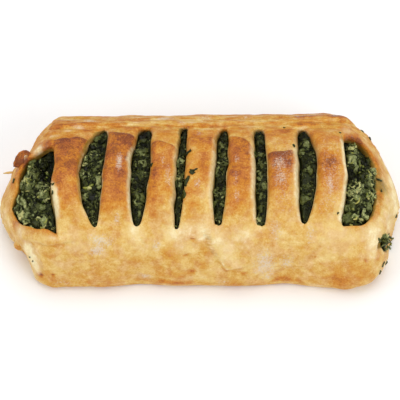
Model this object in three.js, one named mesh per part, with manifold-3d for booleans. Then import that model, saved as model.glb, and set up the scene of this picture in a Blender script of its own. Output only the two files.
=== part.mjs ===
// A baked spinach strudel: a folded pastry case, slit across its top,
// round a spinach filling that runs through it.
// Millimetres. +Z is up, +X runs along the strudel and -Y is its front.
// The origin is the middle of the underside.
import * as THREE from "three";
import { mergeVertices } from "three/addons/utils/BufferGeometryUtils.js";
import Module from "manifold-3d";

const wasm = await Module();
wasm.setup();

// Driving dimensions
const LENGTH = 180;
const WIDTH = 89.5;
const HEIGHT = 42.5;
const DOUGH = 4.5; // thickness of the case's wall, roof and floor
const GAP = 0.4; // clearance between the filling and the case
const WELD = 1e-3; // points nearer than this are one point

// The loaf's form
const HALF_LENGTH = LENGTH / 2;
const HALF_WIDTH = WIDTH / 2;
const STRIP_PUFF = 2.4; // rise of a strip's middle over its edges
const CROWN = HEIGHT - STRIP_PUFF;
const STRAIGHT = 64; // half the length over which the sides run straight
const TIP_HEIGHT = 13; // height of the loaf at its two tips
const TIP_SHIFT = -6; // the tips lie a little to the front
const AXIS = -1.4; // the line that the loaf is drawn about, seen from the middle of its width
const CROWN_FALL = 1.35; // power of the curve by which the crown falls to the tips
const ROUNDNESS = 2.3; // superellipse power of a cross-section
const END_SQUARENESS = 0.8; // by how much that power grows towards the tips
const WAIST = 2.8; // the front draws in by this much at the middle of the loaf
const TAPER = 0.045; // the back stands out by this share more at the right end, and less at the left
const TUCK = 3; // how far the underside's edge pulls in
const TUCK_HEIGHT = 9;
const LUMP = 0.5; // slow unevenness of the crust, as waves of these lengths along and across the loaf
const SLOW_WAVE = { along: 17, across: 13, size: -1 };
const QUICK_WAVE = { along: 9.5, across: 8, size: 0.6 };
const TIP_FLAT = 0.05; // a tip ends in a small flat, this much short of its point
const CROWDING = 1.15; // angle over which the stations along the loaf are spread

// Stations along a loaf-shaped body and steps round each of them
const CRUST_MESH = [76, 32];
const INNER_MESH = [30, 16];
const SWELL_MESH = [32, 18];

// Power of the curve that closes the plan at each corner: low is a slanted corner, high a square one
const CORNERS = {
  left: { front: 1.4, back: 1.5 },
  right: { front: 2.15, back: 1.75 },
};

// The slits, from left to right: the middle of each along the loaf, half its width,
// how far its back end leans to the right, and how far its middle bows to the right
const SLIT_FRONT = -29.5;
const SLIT_BACK = 22.5;
const SLIT_BLUNTNESS = 0.45;
const SLITS = [
  { at: -43.5, halfWidth: 4.9, lean: 2.8, bow: -3.1 },
  { at: -26.1, halfWidth: 3.8, lean: 2.5, bow: -0.6 },
  { at: -8.3, halfWidth: 1.9, lean: 2.0, bow: -0.2 },
  { at: 8.7, halfWidth: 3.2, lean: 0.9, bow: 0 },
  { at: 26.4, halfWidth: 2.8, lean: -0.2, bow: 0.7 },
  { at: 44.8, halfWidth: 4.4, lean: -0.3, bow: 2.2 },
];

// The two wide openings, between the outer strips and the lips of the ends: the strip's edge and how far
// it slants outwards to the back, the depth and how far it grows to the back,
// and how square the front and back corners are
const MOUTHS = [
  { side: -1, edge: 63.7, slant: 1.2, depth: 17.4, growth: 0.08, front: -31, back: 9.5, square: [2.4, 2.3] },
  { side: 1, edge: 63.2, slant: 1.4, depth: 15.6, growth: 0, front: -29, back: 12, square: [2.6, 3.2] },
];
const LIP_RISE = 1.6; // how far the lip round a mouth stands up
const LIP_SPREAD = 0.4; // share of a mouth's size over which the lip falls away again
const LIP_START = 5; // the lip rises over this length beside the outer strip

// Where each strip ends on the back of the loaf, with a step down
const STRIP_ENDS = [12.4, 16, 9.4, 13.3, 13.8, 4.4, 3.9];
const STEP_LENGTH = 3;
const BEHIND_STEP = 0.3; // share of the puff that is left behind the step
const PUFF_FADE = 9; // the puff fades out over this length at a slit's ends

// The filling
const FILLING_RECESS = 2.2; // how far it lies under the crust in the openings
const LEAF = { count: 64, length: 3.2, width: 2, thickness: 0.8, tilt: 0.7, seed: 11 };
const FILLING_DEPTH = 9; // lowest level at which an opening joins the filling
const ABOVE = HEIGHT + 6; // a level clear over the loaf

// A tear in the right end's wall, through which the filling bulges
const TEAR = { at: [81.3, -30, 17], radii: [6, 5.5, 5] };
const BULGE = { at: [80.9, -29.4, 16.5], radii: [4.8, 4.2, 3.7] };

// Crisp scraps of dough on the left lip
const FLAKES = [
  { at: [-82.5, 11, 25.5], radii: [2.5, 5.5, 2.8], turn: -0.58 },
  { at: [-81.3, -25.8, 9.5], radii: [2.6, 3, 3], turn: 0.5 },
];

const clamp01 = (value) => Math.min(1, Math.max(0, value));
const ease = (share) => share * share * (3 - 2 * share);
const falling = (share, power) => (1 - share ** power) ** (1 / power);

// Seeded random numbers from 0 to 1
function randomFrom(seed) {
  let state = seed;
  return () => {
    state = (Math.imul(state, 1664525) + 1013904223) >>> 0;
    return state / 2 ** 32;
  };
}

// The loaf's cross-section at x, with its surface moved inwards by inset
function crossSection(x, inset) {
  const share = clamp01((Math.abs(x) - STRAIGHT) / (HALF_LENGTH - inset - STRAIGHT));
  const corner = x < 0 ? CORNERS.left : CORNERS.right;
  const reach = HALF_WIDTH - inset;
  const along = x / HALF_LENGTH;
  return {
    middle: TIP_SHIFT * share * share,
    front: (reach - WAIST * (1 - along * along)) * falling(share, corner.front),
    back: reach * (1 + TAPER * along) * falling(share, corner.back),
    top: TIP_HEIGHT + (CROWN - TIP_HEIGHT) * falling(share, CROWN_FALL) - inset,
    floor: inset,
    power: ROUNDNESS + END_SQUARENESS * share,
  };
}

// Height of the smooth loaf over a point of its plan
function heightAt(x, y, inset) {
  const { middle, front, back, top, floor, power } = crossSection(x, inset);
  const across = clamp01(Math.abs(y - middle) / (y < middle ? front : back));
  return floor + (top - floor) * falling(across, power);
}

// Left and right edge of a slit at y; they meet at its ends
function slitEdges(slit, y) {
  const middle = (SLIT_FRONT + SLIT_BACK) / 2;
  const along = Math.max(-1, Math.min(1, (y - middle) / (SLIT_BACK - middle)));
  const round = 1 - along * along;
  const centre = slit.at + slit.lean * along + slit.bow * round;
  const spread = slit.halfWidth * round ** SLIT_BLUNTNESS;
  return [centre - spread, centre + spread];
}

// Rise of the strips over the smooth loaf: a pillow across each strip, with a step down where it ends
function stripRise(x, y) {
  const edges = SLITS.map((slit) => slitEdges(slit, y));
  const [first, last] = MOUTHS.map((mouth) => mouth.side * mouthPlace(mouth, mouthAlong(mouth, y), 0));
  const starts = [first, ...edges.map((edge) => edge[1])];
  const stops = [...edges.map((edge) => edge[0]), last];
  const strip = starts.findIndex((start, i) => x > start && x < stops[i]);
  if (strip < 0) return 0;
  const across = (x - starts[strip]) / (stops[strip] - starts[strip]);
  const pillow = 4 * across * (1 - across);
  const fromFront = ease(clamp01((y - SLIT_FRONT) / PUFF_FADE));
  const fromBack = ease(clamp01((SLIT_BACK - y) / PUFF_FADE));
  const step = ease(clamp01((y - STRIP_ENDS[strip]) / STEP_LENGTH));
  return STRIP_PUFF * pillow * fromFront * (1 - step * (1 - BEHIND_STEP * fromBack));
}

// Where y lies between the front (-1) and the back (1) of a mouth
function mouthAlong(mouth, y) {
  const along = (2 * y - mouth.front - mouth.back) / (mouth.back - mouth.front);
  return Math.max(-1, Math.min(1, along));
}

// Distance from the loaf's middle to a point that lies out from a mouth's straight edge
// by a share of the mouth's depth
function mouthPlace(mouth, along, out) {
  return mouth.edge + mouth.slant * along + mouth.depth * (1 + mouth.growth * along) * out;
}

// How far a point of the plan lies out from a mouth's middle: 1 is on the mouth's edge
function mouthReach(mouth, x, y) {
  const along = (2 * y - mouth.front - mouth.back) / (mouth.back - mouth.front);
  const edge = mouthPlace(mouth, mouthAlong(mouth, y), 0);
  const out = Math.max(0, (mouth.side * x - edge) / mouth.depth);
  const power = mouth.square[along < 0 ? 0 : 1];
  return (out ** power + Math.abs(along) ** power) ** (1 / power);
}

// Rise of the lips over the smooth loaf: highest at the mouth's edge
function lipRise(x, y) {
  const mouth = x < 0 ? MOUTHS[0] : MOUTHS[1];
  const past = clamp01((mouthReach(mouth, x, y) - 1) / LIP_SPREAD);
  const beside = ease(clamp01((mouth.side * x - mouth.edge) / LIP_START));
  return LIP_RISE * beside * (1 - ease(past));
}

// Slow waves in the crust, as a share of the loaf's size
function lumps(x, y) {
  const slow = SLOW_WAVE.size * Math.sin(x / SLOW_WAVE.along + 1.3) * Math.cos(y / SLOW_WAVE.across + 0.4);
  const quick = QUICK_WAVE.size * Math.sin(x / QUICK_WAVE.along - 2) * Math.sin(y / QUICK_WAVE.across + 1.1);
  return (LUMP / HEIGHT) * (slow + quick);
}

// One ring of points over the loaf at x, from the front of the underside to its back
function loafRing(x, inset, steps, crust) {
  const { middle, front, back, top, floor, power } = crossSection(x, inset);
  const points = [];
  for (let i = 0; i <= steps; i++) {
    const angle = (Math.PI * i) / steps;
    const across = Math.abs(Math.cos(angle)) ** (2 / power);
    const up = Math.abs(Math.sin(angle)) ** (2 / power);
    const side = angle < Math.PI / 2 ? -front : back;
    const y = middle + side * across;
    const z = floor + (top - floor) * (i === 0 || i === steps ? 0 : up);
    const swell = crust ? 1 + lumps(x, y) : 1;
    const rise = crust ? stripRise(x, y) + lipRise(x, y) : 0;
    const pull = TUCK * clamp01(1 - (z - floor) / TUCK_HEIGHT) ** 2;
    const point = new THREE.Vector3(
      x * (1 - pull / HALF_LENGTH),
      y * swell * (1 - pull / HALF_WIDTH),
      z * swell + rise,
    );
    points.push(point);
  }
  return points;
}

// A closed skin over rings of equal length, each joined to the next, with flat ends
function skin(rings) {
  const size = rings[0].length;
  const last = (rings.length - 1) * size;
  const index = [];
  for (let ring = 0; ring < rings.length - 1; ring++) {
    for (let i = 0; i < size; i++) {
      const a = ring * size + i;
      const b = ring * size + ((i + 1) % size);
      index.push(a, a + size, b, b, a + size, b + size);
    }
  }
  for (let i = 1; i < size - 1; i++) {
    index.push(0, i, i + 1);
    index.push(last, last + i + 1, last + i);
  }
  const geometry = new THREE.BufferGeometry().setFromPoints(rings.flat());
  geometry.setIndex(index);
  return geometry;
}

// A loaf-shaped body, moved inwards by inset; its stations crowd together towards the tips
function loaf(inset, [stations, steps], crust = false) {
  const half = HALF_LENGTH - inset - TIP_FLAT;
  const rings = [];
  for (let i = 0; i <= stations; i++) {
    const angle = CROWDING * ((2 * i) / stations - 1);
    rings.push(loafRing((half * Math.sin(angle)) / Math.sin(CROWDING), inset, steps, crust));
  }
  return skin(rings);
}

// Outline of a slit in plan, narrowed by margin
function slitOutline(slit, margin) {
  const steps = 12;
  const left = [];
  const right = [];
  for (let i = 1; i < steps; i++) {
    const y = SLIT_FRONT + ((SLIT_BACK - SLIT_FRONT) * i) / steps;
    const [a, b] = slitEdges(slit, y);
    const narrow = Math.min(margin, (b - a) / 2 - 0.2);
    left.unshift([a + narrow, y]);
    right.push([b - narrow, y]);
  }
  const [front] = slitEdges(slit, SLIT_FRONT);
  const [back] = slitEdges(slit, SLIT_BACK);
  const short = 3 * margin;
  return [[front, SLIT_FRONT + short], ...right, [back, SLIT_BACK - short], ...left];
}

// Outline of an end's opening in plan: a straight edge along the strip, a round one along the lip
function mouthOutline(mouth, margin) {
  const steps = 18;
  const middle = (mouth.front + mouth.back) / 2;
  const half = (mouth.back - mouth.front) / 2 - margin;
  const points = [];
  for (let i = 0; i <= steps; i++) {
    const angle = Math.PI * (i / steps - 0.5);
    const power = mouth.square[angle < 0 ? 0 : 1];
    const out = i % steps ? Math.cos(angle) ** (2 / power) : 0;
    const along = Math.sign(angle) * Math.abs(Math.sin(angle)) ** (2 / power);
    const x = mouthPlace(mouth, along, out) + margin * (1 - 2 * out);
    points.push([mouth.side * x, middle + half * along]);
  }
  return mouth.side > 0 ? points : points.reverse();
}

// Outlines of all the openings, narrowed by margin
function openings(margin) {
  const slits = SLITS.map((slit) => slitOutline(slit, margin));
  const mouths = MOUTHS.map((mouth) => mouthOutline(mouth, margin));
  return [...slits, ...mouths];
}

// An upright prism over an outline, from a low level to a high one
function prism(outline, low, high) {
  const ring = (z) => outline.map(([x, y]) => new THREE.Vector3(x, y, z));
  return skin([ring(high), ring(low)]);
}

// An egg-shaped body
function egg({ at, radii, turn = 0 }) {
  const geometry = new THREE.IcosahedronGeometry(1, 1);
  geometry.scale(...radii);
  geometry.rotateZ(turn);
  geometry.translate(...at);
  return geometry;
}

// A closed mesh as a solid that can be joined and cut; points nearer than WELD become one
function solid(geometry) {
  const bare = geometry.clone();
  bare.deleteAttribute("normal");
  bare.deleteAttribute("uv");
  const merged = mergeVertices(bare, WELD);
  const triVerts = new Uint32Array(merged.index.array);
  const vertProperties = new Float32Array(merged.attributes.position.array);
  return new wasm.Manifold(new wasm.Mesh({ numProp: 3, vertProperties, triVerts }));
}

const joined = (solids) => solids.reduce((all, next) => all.add(next));

// A solid's surface as a geometry
function surface(body) {
  const { numProp, vertProperties, triVerts } = body.getMesh();
  const points = [];
  for (let i = 0; i < vertProperties.length; i += numProp) {
    points.push(...vertProperties.subarray(i, i + 3));
  }
  const geometry = new THREE.BufferGeometry();
  geometry.setAttribute("position", new THREE.Float32BufferAttribute(points, 3));
  geometry.setIndex([...triVerts]);
  return geometry;
}

// The largest body of a solid, without loose scraps and sealed hollows
function largestBody(cut) {
  const bodies = solid(surface(cut)).decompose();
  return bodies.reduce((best, next) => (next.volume() > best.volume() ? next : best));
}

// The case: the folded dough with its slits, mouths, tear and flakes
function pastryCase() {
  const crust = solid(loaf(0, CRUST_MESH, true));
  const hollow = solid(loaf(DOUGH, INNER_MESH));
  const flakes = FLAKES.map((flake) => solid(egg(flake)));
  const cuts = openings(0).map((outline) => solid(prism(outline, FILLING_DEPTH, ABOVE)));
  return joined([crust, ...flakes]).subtract(joined([hollow, ...cuts, solid(egg(TEAR))]));
}

// Leaf shreds that lie on the filling where it shows
function leafShreds() {
  const random = randomFrom(LEAF.seed);
  const spread = () => 2 * random() - 1;
  const shreds = [];
  while (shreds.length < LEAF.count) {
    const x = spread() * HALF_LENGTH;
    const y = SLIT_FRONT + random() * (SLIT_BACK - SLIT_FRONT);
    if (!isOpen(x, y)) continue;
    const shred = new THREE.IcosahedronGeometry(1, 0);
    const size = 0.75 + 0.5 * random();
    shred.scale(LEAF.length * size, LEAF.width * size, LEAF.thickness);
    shred.rotateX(LEAF.tilt * spread());
    shred.rotateY(LEAF.tilt * spread());
    shred.rotateZ(Math.PI * random());
    shred.translate(x, y, heightAt(x, y, FILLING_RECESS));
    shreds.push(solid(shred));
  }
  return joined(shreds);
}

// Whether a point of the plan lies well inside a slit or a mouth
function isOpen(x, y) {
  const inSlit = SLITS.some((slit) => {
    const [left, right] = slitEdges(slit, y);
    return x > left + 2 * GAP && x < right - 2 * GAP;
  });
  const inMouth = MOUTHS.some((mouth) => mouth.side * x > mouth.edge + 1 && mouthReach(mouth, x, y) < 0.9);
  return inSlit || inMouth;
}

// The filling: a core inside the case that swells up into the openings, and out of the tear
function spinachFilling() {
  const core = solid(loaf(DOUGH + GAP, INNER_MESH));
  const columns = openings(GAP).map((outline) => solid(prism(outline, FILLING_DEPTH + GAP, ABOVE)));
  const swell = solid(loaf(FILLING_RECESS, SWELL_MESH)).add(leafShreds());
  return joined([core, joined(columns).intersect(swell), solid(egg(BULGE))]);
}

function piece(name, body, color, roughness) {
  const material = new THREE.MeshStandardMaterial({ color, roughness, metalness: 0 });
  const mesh = new THREE.Mesh(surface(largestBody(body)), material);
  mesh.name = name;
  mesh.position.y = AXIS;
  return mesh;
}

const strudel = new THREE.Group();
strudel.name = "spinach_strudel";
strudel.add(piece("pastry_case", pastryCase(), 0xd9a55a, 0.55));
strudel.add(piece("spinach_filling", spinachFilling(), 0x2f3a1c, 0.45));

export default strudel;
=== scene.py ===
# A baked spinach strudel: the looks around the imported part.
# Shapes are worked out in millimetres in the loaf's own lines, then moved into the frame in metres.
import math
import bpy
import numpy as np
from mathutils import Matrix, Vector
from mathutils.bvhtree import BVHTree


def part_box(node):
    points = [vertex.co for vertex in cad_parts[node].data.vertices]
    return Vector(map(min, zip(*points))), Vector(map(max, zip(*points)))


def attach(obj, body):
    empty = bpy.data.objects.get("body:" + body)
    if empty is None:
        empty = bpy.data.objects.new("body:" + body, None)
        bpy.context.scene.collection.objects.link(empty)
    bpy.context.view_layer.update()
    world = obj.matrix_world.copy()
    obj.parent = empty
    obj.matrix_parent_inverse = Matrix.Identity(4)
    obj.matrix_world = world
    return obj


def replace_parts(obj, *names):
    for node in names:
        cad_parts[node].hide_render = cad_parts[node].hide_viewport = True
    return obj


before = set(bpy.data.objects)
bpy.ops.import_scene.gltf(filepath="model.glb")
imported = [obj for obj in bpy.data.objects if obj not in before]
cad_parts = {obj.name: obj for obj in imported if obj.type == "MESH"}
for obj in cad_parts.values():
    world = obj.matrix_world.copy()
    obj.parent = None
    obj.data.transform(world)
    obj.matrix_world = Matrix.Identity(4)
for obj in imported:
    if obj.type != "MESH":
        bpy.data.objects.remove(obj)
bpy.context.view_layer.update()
mm = 0.001
caseLow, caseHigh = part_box("pastry_case")

# the loaf's form, as it is in the solids
loaf = {
    "halfLength": round((caseHigh.x - caseLow.x) / mm) / 2,
    "halfWidth": 44.75,
    "crown": 40.1,
    "straight": 64.0,  # half the length over which the sides run straight
    "tipHeight": 13.0,
    "tipShift": -6.0,  # the tips lie a little to the front
    "axis": -1.4,  # the line that the loaf is drawn about
    "crownFall": 1.35,
    "roundness": 2.3,
    "endSquareness": 0.8,
    "waist": 2.8,
    "taper": 0.045,
    "tuck": 3.0,
    "tuckHeight": 9.0,
    "leftCorners": (1.4, 1.25),  # front, back
    "rightCorners": (1.85, 1.6),
    "dough": 4.5,
    "reliefFrom": (8, 20),  # heights over which strips, lips and folds come in
    "endScale": 20.0,  # millimetres past an end that count as one whole size
    "slopes": (1 / 60, 1 / 3),  # least and greatest change of size in a millimetre
}

# the slits from left to right: taper is how pointed the front and back ends are, flare is the sloping
# cut face on the left side, with cream or juice on it, and rim is how pale the right edge is
slitSpan = {"front": -29.5, "back": 22.5, "wave": 0.5}
slits = [
    {"at": -44.0, "half": 4.8, "lean": 1.4, "bow": -3.4, "front": -28.5, "back": 20.2,
     "taper": (0.62, 0.5), "flare": 1.1, "cream": 0.15, "juice": 0.45, "rim": 0.5},
    {"at": -25.8, "half": 3.95, "lean": 1.5, "bow": -0.2, "front": -28.1, "back": 21.2,
     "taper": (0.45, 0.22), "flare": 1.0, "cream": 0.65, "juice": 0.1, "rim": 0.35},
    {"at": -8.3, "half": 1.65, "lean": 1.7, "bow": 0.1, "front": -28.9, "back": 22.0,
     "taper": (0.3, 0.15), "flare": 0.9, "cream": 0.42, "juice": 0.4, "rim": 0.2},
    {"at": 9.5, "half": 2.5, "lean": 1.5, "bow": 0.0, "front": -27.9, "back": 20.9,
     "taper": (0.25, 0.25), "flare": 1.9, "cream": 0.55, "juice": 0.1, "rim": 0.2},
    {"at": 26.7, "half": 2.45, "lean": 0.0, "bow": 0.6, "front": -28.1, "back": 20.5,
     "taper": (0.25, 0.25), "flare": 2.0, "cream": 0.65, "juice": 0.1, "rim": 0.3},
    {"at": 45.5, "half": 3.6, "lean": 0.3, "bow": 2.1, "front": -27.4, "back": 20.5,
     "taper": (0.44, 0.35), "flare": 2.4, "cream": 0.68, "juice": 0.0, "rim": 0.2},
]

# the wide openings at the ends; bowBack is how much of the bow there is in the back half, frontRise is how
# far the front rim turns back towards the tip, square is how square the front and back corners are, and
# flareFront and flareBack are where the end strip's sloping cut face begins and dies out
mouths = [
    {"side": -1, "edge": 62.7, "slant": 1.9, "bow": 3.1, "bowBack": 0.15, "depth": 16.2, "growth": 0.08,
     "front": -32.4, "back": 9.5, "frontRise": 3.8, "square": (2.5, 2.6), "flare": 2.3,
     "flareFront": (-0.95, -0.45), "flareBack": (0.22, -0.2), "lipFlare": 0.8, "cream": 1.0},
    {"side": 1, "edge": 62.6, "slant": 1.0, "bow": 2.1, "bowBack": 1.0, "depth": 12.2, "growth": 0.16,
     "front": -28.4, "back": 13.4, "frontRise": 0.0, "square": (4.6, 3.2), "flare": 1.3,
     "flareFront": (-1.0, -0.9), "flareBack": (1.0, 0.9), "lipFlare": 3.6, "cream": 0.8},
]
mouthForm = {"bowFades": (-0.1, 0.35), "riseOver": 0.45, "wave": 0.5}
lip = {"rise": 1.6, "spread": 0.4, "start": 5.0, "uneven": 0.7, "wobble": 1.0, "scale": 14.0}

# the strips: where each ends on the back of the loaf, the slant of that edge, how far its right corner
# is rounded off, how high it puffs and how much of that stays behind its end, how brown it is, how much
# further to the front the brown runs, where it starts to fade towards the right, over what length it
# begins, and how much flour, with painted sheen flecks among it, lies on the strip
strips = [
    {"end": 12.4, "slant": 0.4, "corner": 0.0, "puff": 2.3, "behind": 0.25, "bake": 0.79, "run": 2.0,
     "fade": 0.84, "soft": 0.3, "flour": 0.08},
    {"end": 15.6, "slant": -3.0, "corner": 0.6, "puff": 2.5, "behind": 0.25, "bake": 0.82, "run": 7.0,
     "fade": 0.84, "soft": 0.3, "flour": 0.1},
    {"end": 9.9, "slant": -0.8, "corner": 4.5, "puff": 2.5, "behind": 0.25, "bake": 0.66, "run": 1.0,
     "fade": 0.72, "soft": 0.3, "flour": 0.16},
    {"end": 13.3, "slant": 0.5, "corner": 0.0, "puff": 2.1, "behind": 0.25, "bake": 0.5, "run": 1.5,
     "fade": 0.72, "soft": 0.5, "flour": 0.18},
    {"end": 11.8, "slant": -6.5, "corner": 5.0, "puff": 2.5, "behind": 0.5, "bake": 0.74, "run": 2.0,
     "fade": 0.72, "soft": 1.6, "flour": 0.12},
    {"end": 4.4, "slant": 0.3, "corner": 0.8, "puff": 2.6, "behind": 0.4, "bake": 0.81, "run": 1.0,
     "fade": 0.6, "soft": 0.6, "flour": 0.28},
    {"end": 3.2, "slant": 1.2, "corner": 0.0, "puff": 2.5, "behind": 1.0, "bake": 0.84, "run": 0.0,
     "fade": 0.4, "soft": 5.0, "flour": 0.3},
]
stripForm = {"stepLength": 0.8, "fade": 9.0, "flatness": 5.0, "uneven": 0.8, "cornerOver": (0.45, 1.05)}

# the flaps that lie folded over each other along the back
folds = [
    {"at": 25.5, "lean": 3.0, "height": 0.9, "length": 1.8},
    {"at": 31.0, "lean": -2.0, "height": 0.7, "length": 1.6},
    {"at": 36.5, "lean": 1.5, "height": 0.6, "length": 1.6},
]
foldForm = {"wander": 1.8, "wanderLength": 19.0, "fall": 7.0, "diesOut": (76, 60), "brownEnds": (70, 62)}


# numbers and noise

def ease(low, high, value):
    share = np.clip((value - low) / (high - low), 0, 1)
    return share * share * (3 - 2 * share)


def falling(share, power):
    return np.power(np.maximum(1 - np.power(share, power), 0), 1 / power)


def hump(value, width):
    return np.exp(-((value / width) ** 2))


# a number from 0 to 1 for each corner of a grid
def hashed(ix, iy, iz, seed):
    n = (ix * 73856093) ^ (iy * 19349663) ^ (iz * 83492791) ^ (seed * 668265263)
    n = ((n ^ (n >> 13)) * 1274126177) & 0x7FFFFFFF
    n = n ^ (n >> 15)
    return (n & 0xFFFF) / 65535.0


def valueNoise(points, size, seed):
    place = points / size
    base = np.floor(place).astype(np.int64)
    part = place - base
    part = part * part * (3 - 2 * part)
    total = np.zeros(len(points))
    for corner in range(8):
        step = np.array([corner & 1, corner >> 1 & 1, corner >> 2 & 1])
        weight = np.prod(np.where(step, part, 1 - part), axis=1)
        total += weight * hashed(*(base + step).T, seed)
    return 2 * total - 1


def fractalNoise(points, size, seed, octaves):
    return sum(valueNoise(points, size / 2**k, seed + k) / 2**k for k in range(octaves))


# noise over the plan of the loaf
def planNoise(x, y, size, seed):
    x, y = np.broadcast_arrays(x, y)
    points = np.stack([np.ravel(x), np.ravel(y), np.full(x.size, 0.37)], axis=1)
    return valueNoise(points, size, seed).reshape(x.shape)


# the smooth loaf

def loafSection(x, inset):
    tipLength = loaf["halfLength"] - inset - loaf["straight"]
    share = np.clip((np.abs(x) - loaf["straight"]) / tipLength, 0, 0.9999)
    frontPower = np.where(x < 0, loaf["leftCorners"][0], loaf["rightCorners"][0])
    backPower = np.where(x < 0, loaf["leftCorners"][1], loaf["rightCorners"][1])
    along = x / loaf["halfLength"]
    reach = loaf["halfWidth"] - inset
    front = (reach - loaf["waist"] * (1 - along**2)) * falling(share, frontPower)
    back = reach * (1 + loaf["taper"] * along) * falling(share, backPower)
    middle = loaf["tipShift"] * share**2
    crown = falling(share, loaf["crownFall"])
    top = loaf["tipHeight"] + (loaf["crown"] - loaf["tipHeight"]) * crown - inset
    power = loaf["roundness"] + loaf["endSquareness"] * share
    return middle, front, back, top, power


def loafHeight(x, y, inset=0.0):
    middle, front, back, top, power = loafSection(x, inset)
    across = np.clip(np.abs(y - middle) / np.where(y < middle, front, back), 0, 1)
    return inset + (top - inset) * falling(across, power)


# how far out a point lies, as a share of the section less one: 0 is on the loaf's surface
def loafSize(x, y, z, rise, inset):
    pull = loaf["tuck"] * np.clip(1 - (z - inset) / loaf["tuckHeight"], 0, 1) ** 2
    xs = x / (1 - pull / loaf["halfLength"])
    ys = y / (1 - pull / loaf["halfWidth"])
    zs = z - rise * ease(*loaf["reliefFrom"], z)
    middle, front, back, top, power = loafSection(xs, inset)
    across = np.abs(ys - middle) / np.where(ys < middle, front, back)
    up = np.maximum(zs - inset, 0) / (top - inset)
    size = np.power(np.power(across, power) + np.power(up, power), 1 / power) - 1
    return np.maximum(size, (np.abs(xs) - (loaf["halfLength"] - inset)) / loaf["endScale"])


def loafField(x, y, z, rise, inset, step):
    size = loafSize(x, y, z, rise, inset)
    size = np.broadcast_to(size, np.broadcast_shapes(x.shape, y.shape, z.shape)).astype(np.float32)
    slope = np.sqrt(sum(part**2 for part in np.gradient(size, step)))
    distance = size / np.clip(slope, *loaf["slopes"])
    return np.maximum(distance, inset - z).astype(np.float32)


# slits, mouths and strips

def slitCourse(slit, y):
    middle = (slit["front"] + slit["back"]) / 2
    along = np.clip((y - middle) / (slit["back"] - middle), -1, 1)
    roundness = 1 - along**2
    centre = slit["at"] + slit["lean"] * along + slit["bow"] * roundness
    spread = roundness ** np.where(along < 0, *slit["taper"])
    return centre, spread


# -1 at a mouth's front rim, 1 at its back rim
def mouthAlong(mouth, y):
    return (2 * y - mouth["front"] - mouth["back"]) / (mouth["back"] - mouth["front"])


def mouthEdge(mouth, y):
    along = np.clip(mouthAlong(mouth, y), -1, 1)
    fading = 1 - (1 - mouth["bowBack"]) * ease(*mouthForm["bowFades"], along)
    bow = mouth["bow"] * (1 - along**2) * fading
    return mouth["side"] * (mouth["edge"] + mouth["slant"] * along + bow)


# how much of the end strip's sloping cut face there is, from 0 to 1
def mouthSlope(mouth, y):
    along = np.clip(mouthAlong(mouth, y), -1, 1)
    return ease(*mouth["flareFront"], along) * ease(*mouth["flareBack"], along)


def mouthReach(mouth, x, y):
    out = np.maximum(mouth["side"] * (x - mouthEdge(mouth, y)), 0) / mouth["depth"]
    toFront = ease(mouth["back"], mouth["front"], y)
    along = mouthAlong(mouth, y - mouth["frontRise"] * ease(0, mouthForm["riseOver"], out) * toFront)
    out = out / (1 + mouth["growth"] * np.clip(along, -1, 1))
    power = np.where(along < 0, *mouth["square"])
    return np.power(np.power(out, power) + np.power(np.abs(along), power), 1 / power)


# for each point of the plan: which strip it lies on (-1 is none) and how far across the strip it lies
def stripPlace(x, y):
    starts, stops = [mouthEdge(mouths[0], y)], []
    for slit in slits:
        centre, spread = slitCourse(slit, y)
        stops.append(centre - slit["half"] * spread)
        starts.append(centre + slit["half"] * spread)
    stops.append(mouthEdge(mouths[1], y))
    which = np.full(np.broadcast(x, y).shape, -1)
    across = np.zeros(which.shape)
    for i, (start, stop) in enumerate(zip(starts, stops)):
        share = (x - start) / (stop - start)
        on = (share > 0) & (share < 1)
        which = np.where(on, i, which)
        across = np.where(on, share, across)
    return which, across


def ofStrip(which, key):
    return np.array([strip[key] for strip in strips] + [0.0])[which]


# distance in y from the edge where a strip ends; positive is behind it
def pastStripEnd(which, across, x, y):
    slanted = ofStrip(which, "slant") * (across - 0.5) + stripForm["uneven"] * planNoise(x, y, 4.5, 91)
    rounded = ofStrip(which, "corner") * ease(*stripForm["cornerOver"], across) ** 2
    return y - ofStrip(which, "end") - slanted + rounded


def foldPast(fold, x, y):
    wander = foldForm["wander"] * planNoise(x, 0 * y, foldForm["wanderLength"], int(fold["at"]))
    return y - fold["at"] - fold["lean"] * x / loaf["halfLength"] - wander


# rise of strips, lips and folds over the smooth loaf
def crustRise(x, y):
    which, across = stripPlace(x, y)
    pillow = 1 - np.abs(2 * across - 1) ** stripForm["flatness"]
    fromFront = ease(0, stripForm["fade"], y - slitSpan["front"])
    fromBack = ease(0, stripForm["fade"], slitSpan["back"] - y)
    step = ease(0, stripForm["stepLength"], pastStripEnd(which, across, x, y))
    kept = ofStrip(which, "behind") * fromBack
    rise = ofStrip(which, "puff") * pillow * fromFront * (1 - step * (1 - kept))
    for mouth in mouths:
        past = mouthReach(mouth, x, y) - 1
        beside = ease(0, lip["start"], mouth["side"] * x - mouth["edge"])
        uneven = 1 + lip["uneven"] * planNoise(x, y, 6.0, 61)
        rise = rise + lip["rise"] * uneven * beside * (1 - ease(0, lip["spread"], past))
    for fold in folds:
        past = foldPast(fold, x, y)
        ridge = fold["height"] * ease(-fold["length"], 0, past) * (1 - ease(0, foldForm["fall"], past))
        rise = rise + ridge * ease(*foldForm["diesOut"], np.abs(x))
    return rise


# signed distance to an opening's walls, negative inside it; depth is measured down from the crust
def slitSides(slit, x, y, depth):
    centre, spread = slitCourse(slit, y)
    seed = int(slit["at"] * 10) & 1023
    left = centre - spread * (slit["half"] - slitSpan["wave"] * planNoise(0 * y, y, 5.0, seed))
    right = centre + spread * (slit["half"] + slitSpan["wave"] * planNoise(0 * y, y, 6.0, seed + 1))
    flare = slit["flare"] * spread * np.clip(1 - depth / loaf["dough"], 0, 1)
    return left - flare - x, x - right


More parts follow.
